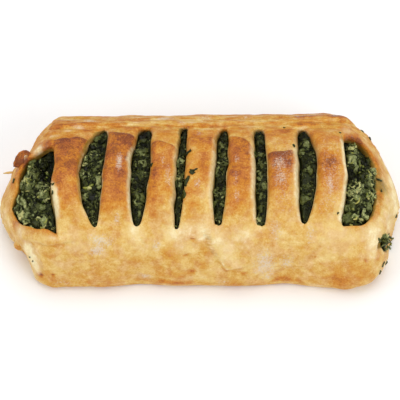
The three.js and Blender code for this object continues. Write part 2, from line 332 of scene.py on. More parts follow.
def slitField(slit, x, y, depth):
    middle = (slit["front"] + slit["back"]) / 2
    ends = np.abs(y - middle) - (slit["back"] - middle)
    return np.maximum(np.maximum(*slitSides(slit, x, y, depth)), ends)


def mouthSides(mouth, x, y, depth):
    high = np.clip(1 - depth / loaf["dough"], 0, 1)
    along = np.clip(mouthAlong(mouth, y), -1, 1)
    flare = mouth["flare"] * mouthSlope(mouth, y)
    lipFlare = mouth["lipFlare"] * (1 - np.abs(along) ** 3)
    wave = mouthForm["wave"] * planNoise(0 * y, y, 6.0, 71)
    edge = mouth["side"] * mouthEdge(mouth, y) - flare * high + wave
    reach = mouthReach(mouth, x, y)
    lipSide = (reach - 1) * lip["scale"] - lipFlare * high + lip["wobble"] * planNoise(x, y, 7.0, 73)
    return lipSide, edge - mouth["side"] * x


def mouthField(mouth, x, y, depth):
    return np.maximum(*mouthSides(mouth, x, y, depth))


openings = [(slitField, slit) for slit in slits] + [(mouthField, mouth) for mouth in mouths]


# the stretch of grid columns that an opening can reach
def columnsNear(opening, xs, mouthMiddle=74, halfReach=22):
    middle = opening.get("at", opening.get("side", 0) * mouthMiddle)
    near = np.nonzero(np.abs(xs - middle) < halfReach)[0]
    return slice(near[0], near[-1] + 1)


def smoothMax(a, b, radius):
    share = np.clip(0.5 + 0.5 * (a - b) / radius, 0, 1)
    return b + (a - b) * share + radius * share * (1 - share)


def eggField(points, centre, radii):
    offset = [(p - c) / r for p, c, r in zip(points, centre, radii)]
    return (np.sqrt(sum(o**2 for o in offset)) - 1) * min(radii)


# meshes

def gridOf(step, endMargin=4, sideMargin=5, topMargin=7):
    reach = (loaf["halfLength"] + endMargin, loaf["halfWidth"] + sideMargin)
    xs = np.arange(-reach[0], reach[0] + step, step)
    ys = np.arange(-reach[1], reach[1] + step, step)
    zs = np.arange(-3 * step, loaf["crown"] + topMargin, step)
    return xs, ys, zs


# a closed quad mesh round the part of a grid where the field is negative
def surfaceNets(field, origin, step):
    inside = field < 0
    shape = tuple(n - 1 for n in field.shape)
    corners = [(i, j, k) for i in (0, 1) for j in (0, 1) for k in (0, 1)]

    def window(values, offset):
        return values[tuple(slice(o, o + n) for o, n in zip(offset, shape))]

    count = sum(window(inside, corner).astype(np.int8) for corner in corners)
    cells = np.nonzero((count > 0) & (count < 8))
    index = np.full(shape, -1, np.int64)
    index[cells] = np.arange(len(cells[0]))
    total = np.zeros((len(cells[0]), 3))
    hits = np.zeros(len(cells[0]))
    base = np.stack(cells, axis=1)
    for axis in range(3):
        for corner in corners:
            if corner[axis]:
                continue
            other = tuple(c + (a == axis) for a, c in enumerate(corner))
            near = window(field, corner)[cells]
            far = window(field, other)[cells]
            crossed = (near < 0) != (far < 0)
            share = near[crossed] / (near[crossed] - far[crossed])
            points = base[crossed] + np.array(corner, float)
            points[:, axis] += share
            total[crossed] += points
            hits[crossed] += 1
    vertices = np.array(origin) + step * total / hits[:, None]
    faces = []
    for axis in range(3):
        u, v = (axis + 1) % 3, (axis + 2) % 3
        low = [slice(1, -1)] * 3
        low[axis] = slice(0, -1)
        high = list(low)
        high[axis] = slice(1, None)
        first, second = inside[tuple(low)], inside[tuple(high)]
        spots = np.stack(np.nonzero(first != second), axis=1)
        outward = first[tuple(spots.T)]
        spots = spots + np.array([0 if a == axis else 1 for a in range(3)])
        quad = []
        for du, dv in ((-1, -1), (0, -1), (0, 0), (-1, 0)):
            cell = spots.copy()
            cell[:, u] += du
            cell[:, v] += dv
            quad.append(index[tuple(cell.T)])
        quad = np.stack(quad, axis=1)
        quad[~outward] = quad[~outward][:, ::-1]
        faces.append(quad)
    return vertices, np.concatenate(faces)


def meshPiece(name, vertices, faces):
    mesh = bpy.data.meshes.new(name)
    faces = np.asarray(faces, np.int32)
    mesh.vertices.add(len(vertices))
    mesh.vertices.foreach_set("co", np.asarray(vertices, np.float32).ravel())
    mesh.loops.add(faces.size)
    mesh.loops.foreach_set("vertex_index", faces.ravel())
    mesh.polygons.add(len(faces))
    mesh.polygons.foreach_set("loop_start", np.arange(0, faces.size, faces.shape[1], dtype=np.int32))
    mesh.update(calc_edges=True)
    mesh.validate()
    mesh.polygons.foreach_set("use_smooth", np.ones(len(mesh.polygons), bool))
    piece = bpy.data.objects.new(name, mesh)
    bpy.context.scene.collection.objects.link(piece)
    return piece


# the mesh that a piece's modifiers give becomes its own
def applyModifiers(piece):
    graph = bpy.context.evaluated_depsgraph_get()
    made = bpy.data.meshes.new_from_object(piece.evaluated_get(graph))
    piece.modifiers.clear()
    old = piece.data
    piece.data = made
    bpy.data.meshes.remove(old)
    made.name = piece.name


def trianglesOf(piece):
    return sum(len(face.vertices) - 2 for face in piece.data.polygons)


# smooths a mesh and thins it to a number of triangles, first where it can't be seen
def thinned(piece, triangles, smoothing, hidden):
    smooth = piece.modifiers.new("relax", "SMOOTH")
    smooth.factor = 0.5
    smooth.iterations = smoothing
    group = piece.vertex_groups.new(name="hidden")
    group.add(np.nonzero(hidden)[0].tolist(), 1.0, "REPLACE")
    thin = piece.modifiers.new("thin", "DECIMATE")
    thin.ratio = min(1, triangles / trianglesOf(piece))
    thin.vertex_group = "hidden"
    thin.vertex_group_factor = 1000
    applyModifiers(piece)
    piece.vertex_groups.clear()
    rest = piece.modifiers.new("rest", "DECIMATE")
    rest.ratio = min(1, triangles / trianglesOf(piece))
    applyModifiers(piece)


# one number or vector for each item of a mesh's list
def fetched(items, key, kind=np.float32, width=1):
    flat = np.zeros(len(items) * width, kind)
    items.foreach_get(key, flat)
    return flat


def pointsOf(piece):
    return fetched(piece.data.vertices, "co", width=3).reshape(-1, 3).astype(float)


def normalsOf(piece):
    return fetched(piece.data.vertex_normals, "vector", width=3).reshape(-1, 3).astype(float)


def setPoints(piece, points):
    piece.data.vertices.foreach_set("co", np.asarray(points, np.float32).ravel())
    piece.data.update()


def setAttribute(piece, name, values):
    layer = piece.data.attributes.get(name) or piece.data.attributes.new(name, "FLOAT", "POINT")
    layer.data.foreach_set("value", np.asarray(values, np.float32))


# loaf millimetres to frame metres and back
def intoFrame(points):
    return (np.asarray(points) + np.array([0, loaf["axis"], 0])) * mm


def intoLoaf(point):
    return np.array(point) / mm - np.array([0, loaf["axis"], 0])


def surfaceOf(*pieces):
    points, faces = [], []
    for piece in pieces:
        start = len(points)
        points += [vertex.co for vertex in piece.data.vertices]
        faces += [[start + corner for corner in face.vertices] for face in piece.data.polygons]
    return BVHTree.FromPolygons(points, faces)


# the camera, set as the photograph's view of the loaf

shot = {
    "elevation": 55.0,
    "distance": 700.0,
    "viewWidth": 181.0,
    "target": (0.0, -2.0, 12.0),
    "pixels": 400,
}


def shotLines():
    tilt = math.radians(shot["elevation"])
    back = Vector((0, -math.cos(tilt), math.sin(tilt)))
    up = Vector((0, math.sin(tilt), math.cos(tilt)))
    eye = (Vector(shot["target"]) + back * shot["distance"]) * mm
    return eye, back, up


def makeCamera():
    camera = bpy.data.cameras.new("camera")
    holder = bpy.data.objects.new("camera", camera)
    bpy.context.scene.collection.objects.link(holder)
    eye, back, up = shotLines()
    holder.location = eye
    holder.rotation_euler = (-back).to_track_quat("-Z", "Y").to_euler()
    camera.angle = 2 * math.atan(shot["viewWidth"] / 2 / shot["distance"])
    camera.clip_start = 0.01
    camera.clip_end = 20
    bpy.context.scene.camera = holder


# the point of a surface that lies behind a pixel of the photograph, and the surface's normal there
def behindPixel(surface, px, py):
    eye, back, up = shotLines()
    span = shot["viewWidth"] / shot["pixels"]
    middle = shot["pixels"] / 2
    ray = Vector(((px - middle) * span, 0, 0)) + up * (middle - py) * span - back * shot["distance"]
    place, normal, face, distance = surface.ray_cast(eye, ray.normalized())
    if place is None:
        place, normal, face, distance = surface.find_nearest(eye + ray * mm)
    return place, normal


# node trees as expressions

class Wire:
    def __init__(self, tree, socket):
        self.tree = tree
        self.socket = socket

    def node(self, kind, settings=None, inputs=None, output=0):
        made = self.tree.nodes.new(kind)
        for key, value in (settings or {}).items():
            if key == "stops":
                ramp = made.color_ramp
                while len(ramp.elements) < len(value):
                    ramp.elements.new(1.0)
                for element, (place, colour) in zip(ramp.elements, value):
                    element.position = place
                    element.color = (*colour, 1)
            else:
                setattr(made, key, value)
        for key, value in (inputs or {}).items():
            if isinstance(value, Wire):
                self.tree.links.new(value.socket, made.inputs[key])
            else:
                made.inputs[key].default_value = value
        return Wire(self.tree, made.outputs[output])

    def maths(self, operation, other, swapped=False):
        pair = (other, self) if swapped else (self, other)
        return self.node("ShaderNodeMath", {"operation": operation}, dict(enumerate(pair)))

    def __add__(self, other):
        return self.maths("ADD", other)

    def __radd__(self, other):
        return self.maths("ADD", other, True)

    def __sub__(self, other):
        return self.maths("SUBTRACT", other)

    def __rsub__(self, other):
        return self.maths("SUBTRACT", other, True)

    def __mul__(self, other):
        return self.maths("MULTIPLY", other)

    def __rmul__(self, other):
        return self.maths("MULTIPLY", other, True)

    # another output of the same node
    def beside(self, output):
        return Wire(self.tree, self.socket.node.outputs[output])

    def stretched(self, scale):
        return self.node("ShaderNodeVectorMath", {"operation": "MULTIPLY"}, {0: self, 1: scale})

    def between(self, low, high):
        return self.node("ShaderNodeMapRange", {"interpolation_type": "SMOOTHSTEP"},
                         {"Value": self, "From Min": low, "From Max": high})


def linear(red, green, blue):
    def one(value):
        share = value / 255
        return share / 12.92 if share <= 0.04045 else ((share + 0.055) / 1.055) ** 2.4
    return (one(red), one(green), one(blue))


# a material with its plain inputs set, its shader and the place on the piece
def newMaterial(name, fixed):
    material = bpy.data.materials.new(name)
    material.use_nodes = True
    tree = material.node_tree
    tree.nodes.clear()
    shader = tree.nodes.new("ShaderNodeBsdfPrincipled")
    output = tree.nodes.new("ShaderNodeOutputMaterial")
    tree.links.new(shader.outputs[0], output.inputs[0])
    for socket, value in fixed.items():
        shader.inputs[socket].default_value = value
    place = Wire(tree, None).node("ShaderNodeTexCoord", output=3)
    return material, shader, place


def plug(shader, socket, wire):
    wire.tree.links.new(wire.socket, shader.inputs[socket])


# relief in the finish; depth is in mm
def bumped(shader, height, strength, depth):
    plug(shader, "Normal", height.node("ShaderNodeBump", {}, {
        "Strength": strength, "Distance": depth * mm, "Height": height}))


# noise over a piece; size is in mm
def noise(place, size, detail=4.0, roughness=0.55):
    return place.node("ShaderNodeTexNoise", {}, {
        "Vector": place, "Scale": 1 / (size * mm), "Detail": detail, "Roughness": roughness})


def attribute(place, name):
    return place.node("ShaderNodeAttribute", {"attribute_name": name}, {}, 2)


# a ramp of colours; each is given as a screen shows it
def ramped(share, tones):
    stops = [(place, linear(*colour)) for place, colour in tones]
    return share.node("ShaderNodeValToRGB", {"stops": stops}, {"Fac": share})


def mixed(first, second, share):
    return share.node("ShaderNodeMix", {"data_type": "RGBA"}, {0: share, 6: first, 7: second}, 2)


# the pastry case

pastry = {
    "step": 0.6,
    "triangles": 190000,
    "edgeRound": 1.3,
    "cutFloor": 12.0,  # the openings reach down to this level
    "tears": [  # the torn spot at the right front corner: centres and radii
        ((82.2, -28.2, 18.9), (3.0, 3.6, 4.2)),
        ((79.0, -30.2, 21.2), (2.3, 2.6, 1.8)),
        ((84.2, -27.4, 14.8), (2.6, 3.0, 3.0)),
    ],
    "nub": ((-82.8, -25.0, 11.2), (2.4, 2.2, 3.0)),  # a small bump at the left front corner
    "lumps": [(16.0, 0.55), (7.0, 0.34), (3.0, 0.17), (1.5, 0.07)],  # size and height
    "ridgeStretch": 0.2,
    "backRidges": {"height": 0.6, "size": 3.0, "from": (13, 22)},
    "lowRidges": {"height": 0.3, "size": 2.6, "below": (18, 5), "front": (-15, -30)},
    "calm": {"foot": (0.2, 3.0), "cut": (0, 1.5), "least": 0.35},  # lower lumps at foot and cuts
    "bottomWave": {"height": 0.3, "length": 11.0, "below": (32, 8), "foot": (9, 0), "footLoss": 0.5,
                   "front": (-10, -30)},
    "pitDepth": 0.5,
    "innerSize": -0.06,  # points of a smaller size lie on the inside
    "outerSizes": (-0.07, -0.03),
    "smoothing": 2,
    "buriedPast": 0.8,  # the mesh may be coarse inside, this far from the cuts or this low
    "buriedFoot": 0.4,
    "fineNearPush": 1.8,  # within this share of a push's reach the mesh stays fine
    "basePushes": [  # where the front's bottom edge goes in or out, in mm
        {"at": 0.0, "width": 120.0, "push": 0.7},
        {"at": -58.0, "width": 10.0, "push": 2.0},
        {"at": -26.0, "width": 9.0, "push": 2.4},
        {"at": 0.0, "width": 6.0, "push": 0.8},
        {"at": 38.5, "width": 10.0, "push": 3.4},
        {"at": 76.0, "width": 7.0, "push": -2.4},
    ],
    "pushes": [  # where the ends stand in or out from the plain loaf, in mm
        {"at": (-82, -27, 6), "by": (4.8, 0, 0), "reach": 7.5},
        {"at": (-70, -40, 1), "by": (-3.6, -0.8, 0), "reach": 6.0},
        {"at": (-88, -19, 10), "by": (1.8, 0, 0), "reach": 6.0},
        {"at": (-77, 19, 21), "by": (3.4, -2.4, 0), "reach": 6.0},
        {"at": (-82, 12, 18), "by": (-2.0, 0, 0), "reach": 6.0},
        {"at": (73, 39, 22), "by": (-2.0, -7.0, 0), "reach": 9.5},
        {"at": (80, 31, 17), "by": (-1.5, -2.2, 0), "reach": 8.0},
        {"at": (88, -19, 13), "by": (-6.8, 0, 0), "reach": 8.0},
        {"at": (84, -33, 8), "by": (-0.6, 0, 0), "reach": 6.0},
    ],
}


# a mark on the crust behind a pixel of the photograph; size is along and across the loaf in mm
def spot(pixel, size, strength):
    return {"pixel": pixel, "size": size, "strength": strength}


flourSpots = [
    spot((119, 162), (1.4, 5.0), 1.0),  # strips
    spot((117, 219), (1.8, 3.6), 0.7),
    spot((163, 160), (1.2, 4.0), 0.55),
    spot((168, 176), (1.6, 7.0), 0.6),
    spot((197, 183), (1.5, 2.4), 0.8),
    spot((200, 133), (2.2, 3.0), 0.55),
    spot((237, 159), (1.2, 2.6), 0.65),
    spot((236, 178), (1.5, 5.0), 0.45),
    spot((237, 196), (2.0, 4.0), 0.5),
    spot((279, 163), (3.4, 4.0), 0.75),
    spot((281, 177), (3.6, 6.0), 0.68),
    spot((284, 194), (2.6, 5.0), 0.45),
    spot((324, 168), (1.6, 3.0), 0.45),
    spot((330, 184), (1.5, 6.0), 0.8),
    spot((327, 201), (1.3, 4.0), 0.5),
    spot((101, 241), (6.2, 3.6), 0.8),  # front wall
    spot((97, 250), (4.0, 3.4), 0.9),
    spot((156, 246), (1.8, 3.2), 0.9),
    spot((276, 232), (3.2, 6.0), 0.6),
    spot((311, 234), (2.6, 6.0), 0.58),
    spot((265, 264), (5.4, 8.5), 0.85),
    spot((286, 262), (4.0, 5.0), 0.65),
    spot((268, 276), (3.0, 2.4), 0.8),
    spot((60, 283), (5.0, 2.0), 0.45),
    spot((146, 276), (4.0, 2.4), 0.7),
    spot((222, 282), (4.0, 1.6), 0.6),
    spot((90, 121), (4.0, 1.6), 0.9),  # the back
    spot((77, 126), (3.0, 1.6), 0.5),
    spot((135, 117), (5.0, 1.6), 0.6),
    spot((165, 119), (5.0, 2.4), 0.8),
    spot((182, 122), (4.0, 2.4), 0.55),
    spot((204, 118), (6.0, 1.8), 0.55),
    spot((247, 117), (3.0, 1.4), 0.6),
    spot((318, 114), (8.0, 1.8), 0.8),
    spot((336, 114), (4.0, 1.8), 0.65),
    spot((298, 112), (8.0, 1.4), 0.5),
]
creamAndLightSpots = [
    spot((28, 250), (3.2, 4.0), 1.0),  # cut flap at the left end
    spot((32, 258), (3.4, 4.4), 1.0),
    spot((35, 266), (2.8, 3.6), 1.0),
    spot((389, 257), (1.8, 2.6), 0.9),  # below the tear
    spot((385, 265), (1.4, 2.6), 0.9),
    spot((380, 273), (1.4, 2.6), 0.8),
    spot((386, 166), (2.0, 3.6), 0.7),  # outside of the right lip: pale dough, with painted light on this end, which faces away from the lamps
    spot((391, 182), (2.0, 4.0), 0.9),
    spot((394, 196), (2.0, 4.0), 0.9),
    spot((396, 210), (2.0, 4.0), 0.8),
    spot((388, 226), (2.4, 5.0), 0.7),
    spot((134, 229), (2.6, 2.6), 0.7),  # below the slits
    spot((175, 234), (3.6, 3.6), 0.8),
    spot((188, 231), (4.0, 4.4), 0.6),
    spot((217, 238), (4.0, 5.0), 0.6),
    spot((226, 246), (5.0, 6.0), 0.4),
    spot((260, 228), (2.4, 2.4), 0.5),
    spot((203, 234), (4.0, 4.0), 0.75),
    spot((180, 246), (5.0, 5.0), 0.4),
    spot((245, 247), (4.0, 4.0), 0.35),
    spot((328, 239), (5.0, 7.0), 0.35),
    spot((242, 236), (6.0, 4.5), 0.55),
    # painted light on the shaded side of a fold
    spot((74, 246), (5.0, 4.0), 0.35),
    spot((374, 233), (5.0, 5.0), 0.7),  # beside the tear: pale dough, and painted light where the crust lies in shade
    spot((374, 242), (4.0, 5.0), 0.8),
    spot((373, 253), (3.6, 5.0), 0.5),
    spot((347, 131), (3.0, 4.0), 0.4),  # round the mouths
    spot((20, 232), (5.0, 4.0), 0.5),
    spot((50, 238), (5.0, 1.8), 0.4),
    spot((362, 236), (11.0, 5.0), 0.35),
    spot((345, 231), (4.0, 3.0), 0.4),
    spot((38, 150), (3.0, 3.4), 0.6),
    spot((42, 141), (3.0, 1.2), 0.35),  # ridge of the fold at the back left corner
    spot((54, 136), (3.5, 1.2), 0.4),
    spot((67, 131), (3.5, 1.2), 0.4),
    spot((79, 128), (3.0, 1.2), 0.4),
]
brownAndShadeSpots = [
    spot((345, 279), (8.0, 5.0), 0.4),  # front corners
    spot((356, 268), (8.0, 6.0), 0.26),
    spot((372, 276), (3.0, 3.0), 0.24),
    spot((377, 259), (1.6, 2.4), 0.3),
    spot((41, 275), (2.0, 2.0), 0.2),
    spot((53, 278), (4.0, 3.0), 0.2),
    spot((163, 281), (4.0, 1.6), 0.34),  # along the bottom edge
    spot((178, 283), (8.0, 1.2), 0.26),
    spot((286, 279), (5.0, 2.0), 0.26),
    spot((56, 244), (5.0, 2.2), 0.1),  # front wall
    spot((100, 270), (8.0, 5.0), 0.1),
    spot((170, 251), (5.0, 4.0), 0.14),
    spot((203, 252), (2.6, 5.0), 0.25),
    spot((242, 254), (2.6, 3.0), 0.2),
    spot((168, 270), (8.0, 5.0), 0.14),
    spot((196, 262), (6.0, 6.0), 0.18),
    spot((330, 268), (8.0, 5.0), 0.18),
    spot((285, 250), (10.0, 8.0), 0.07),
    spot((98, 227), (6.0, 3.0), 0.15),
    spot((160, 238), (4.0, 4.0), 0.12),
    spot((355, 247), (5.0, 4.0), 0.12),
    spot((295, 242), (6.0, 5.0), 0.1),
    spot((83, 143), (3.0, 4.0), 0.14),  # strips
    spot((125, 138), (4.0, 3.0), 0.14),
    spot((112, 224), (4.0, 3.0), 0.14),
    spot((192, 195), (4.0, 8.0), 0.24),
    spot((233, 213), (5.0, 5.0), 0.15),
    spot((153, 172), (2.0, 10.0), 0.2),
    spot((152, 208), (2.6, 9.0), 0.22),
    spot((150, 221), (3.2, 3.0), 0.18),
    spot((187, 206), (3.0, 6.0), 0.2),
    spot((205, 160), (2.4, 12.0), 0.22),
    spot((198, 190), (3.0, 8.0), 0.15),
    spot((278, 203), (3.0, 4.0), 0.12),
    spot((226, 217), (3.0, 3.0), 0.12),
    spot((152, 190), (2.4, 14.0), 0.16),
    spot((240, 175), (4.0, 7.0), 0.15),
    spot((300, 113), (8.0, 2.0), 0.56),  # the back; along its far edge on the right, brown crust with painted shade
    spot((262, 115), (10.0, 2.5), 0.4),
    spot((272, 134), (5.0, 3.0), 0.3),
    spot((285, 131), (4.0, 3.0), 0.28),
    spot((318, 143), (7.0, 4.0), 0.3),
    # brown crust with painted shade along the far back edge
    spot((322, 114), (10.0, 2.2), 0.4),
    spot((338, 113), (4.0, 2.2), 0.55),
    spot((86, 130), (3.0, 1.6), 0.22),
    spot((46, 135), (3.0, 0.9), 0.25),
    spot((58, 129), (4.0, 0.9), 0.25),
    spot((72, 124), (4.0, 0.9), 0.2),
    spot((95, 122), (8.0, 1.0), 0.1),
    spot((120, 126), (4.0, 1.2), 0.2),
    spot((160, 128), (3.0, 1.6), 0.2),
    spot((190, 138), (2.6, 1.2), 0.25),
    spot((209, 140), (1.6, 6.0), 0.25),
    spot((196, 134), (3.4, 4.0), 0.2),
    spot((236, 121), (3.0, 2.0), 0.18),
    spot((311, 135), (4.0, 2.4), 0.26),
    spot((324, 134), (4.0, 2.4), 0.2),
    spot((341, 119), (2.0, 2.4), 0.24),
    spot((360, 141), (4.0, 1.6), 0.3),  # lips
    spot((18, 197), (1.2, 5.0), 0.16),
    spot((13, 188), (1.6, 5.0), 0.2),
    spot((15, 226), (2.4, 4.0), 0.12),
    spot((17, 170), (1.2, 1.0), 0.3),
    spot((15, 176), (1.0, 1.0), 0.25),
    spot((27, 162), (1.8, 2.4), 0.45),
    spot((36, 139), (1.2, 1.2), 0.3),
    spot((378, 164), (2.0, 4.0), 0.2),
    spot((381, 198), (1.6, 4.0), 0.22),
    # painted shadow beside the tear's pale ridge
    spot((388, 229), (1.0, 3.0), 0.35),
    spot((18, 248), (1.6, 2.0), 0.3),  # the bump at the left front corner
]
stainAndShadeSpots = [  # juice of the filling, and painted shade in juice colour at the right mouth's back rim
    spot((350, 144), (3.0, 2.4), 0.7),
    spot((381, 185), (4.6, 5.0), 1.0),
    spot((379, 173), (1.6, 4.0), 0.6),
    spot((380, 201), (1.8, 5.0), 0.5),
    spot((16, 205), (1.0, 5.0), 0.6),
    spot((342, 139), (1.0, 2.4), 0.6),
]
pits = [  # small holes in the crust
    {"pixel": (245, 273), "width": 0.9},
    {"pixel": (366, 261), "width": 1.0},
    {"pixel": (314, 257), "width": 0.6},
    {"pixel": (187, 255), "width": 0.9},
    {"pixel": (191, 272), "width": 1.4},
    {"pixel": (41, 275), "width": 1.0},
    {"pixel": (53, 275), "width": 0.9},
    {"pixel": (193, 239), "width": 0.7},
]

# edges of folds on the front wall: the dough to the left of each line, as it runs, lies on top
creases = [
    {"pixels": [(208, 240), (211, 249), (218, 258), (227, 269), (238, 267)],
     "height": 1.1, "reach": 9.0, "shade": 0.17},
    {"pixels": [(229, 270), (240, 270), (247, 275)], "height": 0.7, "reach": 5.0, "shade": 0.08},
    {"pixels": [(296, 268), (308, 257), (318, 246)], "height": 0.6, "reach": 7.0, "shade": 0.06},
    {"pixels": [(33, 245), (40, 256), (44, 271)], "height": 0.6, "reach": 6.0, "shade": 0.0},
    {"pixels": [(25, 240), (38, 242), (52, 245), (64, 243)], "height": 0.9, "reach": 7.0, "shade": 0.07},
]


def pastryField(xs, ys, zs, step):
    x, y, z = xs[:, None, None], ys[None, :, None], zs[None, None, :]
    rise = crustRise(xs[:, None], ys[None, :])
    height = loafHeight(xs[:, None], ys[None, :]) + rise
    outer = loafField(x, y, z, rise[:, :, None], 0.0, step)
    inner = loafField(x, y, z, 0.0, loaf["dough"], step)
    field = np.maximum(outer, -inner)
    for kind, opening in openings:
        block = columnsNear(opening, xs)
        wall = kind(opening, x[block], y, height[block, :, None] - z)
        wall = np.maximum(wall, pastry["cutFloor"] - z)
        field[block] = smoothMax(field[block], -wall, pastry["edgeRound"])
    for tear in pastry["tears"]:
        field = smoothMax(field, -eggField((x, y, z), *tear), pastry["edgeRound"])
    return -smoothMax(-field, -eggField((x, y, z), *pastry["nub"]), pastry["edgeRound"])


# how near the loaf's surface beside each point is to each push, as a share of the push's reach
def pushShares(points):
    beside = points.copy()
    beside[:, 1:] /= np.maximum(1 + loafSize(*points.T, 0.0, 0.0), 0.4)[:, None]
    return [np.linalg.norm(beside - np.array(push["at"]), axis=1) / push["reach"]
            for push in pastry["pushes"]]


def unpushed(points):
    return np.min(pushShares(points), axis=0) > pastry["fineNearPush"]


# moves points of the plain loaf, inside and outside alike, to where the ends stand in or out
def pushed(points):
    moved = points.copy()
    for push, share in zip(pastry["pushes"], pushShares(points)):
        moved += hump(share, 1.0)[:, None] * np.array(push["by"])
    return moved


# how near points of the crust are to the cut walls, and how far below the crust they lie
def cutDistances(points):
    x, y, z = points.T
    depth = loafHeight(x, y) + crustRise(x, y) - z
    slitGap = np.min([slitField(slit, x, y, depth) for slit in slits], axis=0)
    sides = [mouthSides(mouth, x, y, depth) for mouth in mouths]
    tear = np.min([eggField((x, y, z), *egg) for egg in pastry["tears"]], axis=0)
    nearest = np.min([slitGap, tear] + [np.maximum(*pair) for pair in sides], axis=0)
    return {"depth": depth, "slit": slitGap, "mouths": sides, "tear": tear, "all": nearest}


def crustLumps(points):
    x, y, z = points.T
    stretched = points * np.array([pastry["ridgeStretch"], 1, 1])
    lump = sum(height * valueNoise(points, size, 11 + i)
               for i, (size, height) in enumerate(pastry["lumps"]))
    back, low = pastry["backRidges"], pastry["lowRidges"]
    onBack = back["height"] * ease(*back["from"], y)
    lowDown = low["height"] * ease(*low["below"], z) * ease(*low["front"], y)
    lump = lump + onBack * fractalNoise(stretched, back["size"], 21, 2)
    return lump + lowDown * valueNoise(stretched, low["size"], 23)


# strength of a list of spots at points of the crust
def spotted(points, surface, spots):
    total = np.zeros(len(points))
    for each in spots:
        offset = points - intoLoaf(behindPixel(surface, *each["pixel"])[0])
        along, across = each["size"]
        mark = hump(offset[:, 0], along) * hump(np.hypot(offset[:, 1], offset[:, 2]), across)
        total = np.maximum(total, each["strength"] * mark)
    return total


# signed distance from a crease, positive on the side that lies on top
def creaseDistance(points, surface, crease):
    line = [intoLoaf(behindPixel(surface, *pixel)[0]) for pixel in crease["pixels"]]
    best = np.full(len(points), np.inf)
    side = np.ones(len(points))
    for start, stop in zip(line, line[1:]):
        run = stop - start
        share = np.clip((points - start) @ run / (run @ run), 0, 1)
        offset = points - start - share[:, None] * run
        distance = np.linalg.norm(offset, axis=1)
        cross = run[0] * offset[:, 2] - run[2] * offset[:, 0]
        nearer = distance < best
        best = np.where(nearer, distance, best)
        side = np.where(nearer, np.where(cross > 0, 1.0, -1.0), side)
    return best * side


# how brown the crust is, from 0, pale, to 1, dark; pairs say between which places a change comes in
browning = {
    "wall": 0.24,  # the front wall, darker towards its foot and paler to the right
    "wallFoot": 0.09,
    "footHeights": (16, 4),
    "wallRight": 0.02,
    "rightFrom": (20, 50),
    "back": 0.5,  # the back, paler from the middle to the right
    "backRight": 0.08,
    "backRightFrom": (-60, 0),
    "frontToBack": (-6, 16),
    "underside": 0.08,
    "undersideHeights": (1.5, 0.2),
    "stripCourse": ([-34, -29, -24, -13, -2, 6], [0.05, 0.16, 0.36, 0.74, 0.92, 1.0]),  # y, share of brown
    "stripMargin": 4.0,
    "runFrom": (-32, -20),
    "rightMargin": 0.45,  # how much paler the margins of a strip are
    "leftMargin": 0.12,
    "leftMarginOver": (0.15, 0.0),
    "nearEnd": {"brown": 0.1, "at": 1.2, "width": 2.0},
    "stripEnd": {"brown": 0.3, "at": 0.2, "width": 0.7},  # dark lines: the ends of strips, folds and lips
    "fold": {"brown": 0.26, "width": 0.9, "broken": (0.2, 0.6), "size": 12.0},
    "lip": {"brown": 0.28, "width": 1.8, "over": (1.0, -1.0)},
    "lump": 0.16,  # what lumps add, and how much darker the small holes are
    "pit": 0.45,
}


def crustBake(points, cuts):
    x, y, z = points.T
    which, across = stripPlace(x, y)
    past = pastStripEnd(which, across, x, y)
    on = (which >= 0) & (y > slitSpan["front"] - browning["stripMargin"]) & (y < slitSpan["back"])
    wall = browning["wall"] + browning["wallFoot"] * ease(*browning["footHeights"], z)
    wall = wall - browning["wallRight"] * ease(*browning["rightFrom"], x)
    back = browning["back"] - browning["backRight"] * ease(*browning["backRightFrom"], x)
    bake = wall + (back - wall) * ease(*browning["frontToBack"], y)
    bake = bake + browning["underside"] * ease(*browning["undersideHeights"], z)

    # each strip, from its end on the back to where it fades on the front
    toFront = np.interp(y + ofStrip(which, "run") * ease(*browning["runFrom"], y), *browning["stripCourse"])
    fade = ease(0, 1, (across - ofStrip(which, "fade")) / (1 - ofStrip(which, "fade")))
    leftMargin = 1 - browning["leftMargin"] * ease(*browning["leftMarginOver"], across)
    margins = (1 - browning["rightMargin"] * fade) * leftMargin
    near, end = browning["nearEnd"], browning["stripEnd"]
    brown = ofStrip(which, "bake") * toFront * margins
    brown = brown * (1 + near["brown"] * hump(past + near["at"], near["width"]))
    begun = ease(1, -1, past / np.maximum(ofStrip(which, "soft"), 0.1))
    bake = bake + on * begun * np.maximum(brown - bake, 0)

    # dark lines
    endLine = end["brown"] * on * hump(past + end["at"], end["width"])
    bake = bake + endLine * ofStrip(which, "bake") * (1 - ofStrip(which, "behind"))
    folded, lips = browning["fold"], browning["lip"]
    broken = ease(*folded["broken"], planNoise(x, y, folded["size"], 77))
    for fold in folds:
        line = hump(foldPast(fold, x, y) + fold["length"], folded["width"])
        bake = bake + folded["brown"] * broken * line * ease(*foldForm["brownEnds"], np.abs(x))
    for lipSide, stripSide in cuts["mouths"]:
        bake = bake + lips["brown"] * hump(lipSide, lips["width"]) * ease(*lips["over"], stripSide)
    return bake


# lumps all over, then the front's bottom edge and the ends in or out
def unevenDough(points, normals, lump, outside, cuts):
    calm, base = pastry["calm"], pastry["bottomWave"]
    besideCut = calm["least"] + (1 - calm["least"]) * ease(*calm["cut"], cuts["all"])
    height = lump * (outside * ease(*calm["foot"], points[:, 2]) * besideCut)
    points = points + normals * height[:, None]
    x, y, z = points.T
    wave = base["height"] * planNoise(x, 0 * x, base["length"], 9)
    wave += sum(push["push"] * hump(x - push["at"], push["width"]) for push in pastry["basePushes"])
    wave = wave * ease(*base["below"], z) * (1 - base["footLoss"] * ease(*base["foot"], z))
    points[:, 1] += wave * ease(*base["front"], y)
    return pushed(points)


# a crease's step, the painted shade below it and the painted highlight along its edge above it
creaseForm = {
    "front": (-20, -30),
    "step": (-0.5, 0.7),
    "shade": {"at": 0.7, "width": 0.8},
    "edge": {"at": 0.5, "width": 0.7, "cream": 2.6},
}


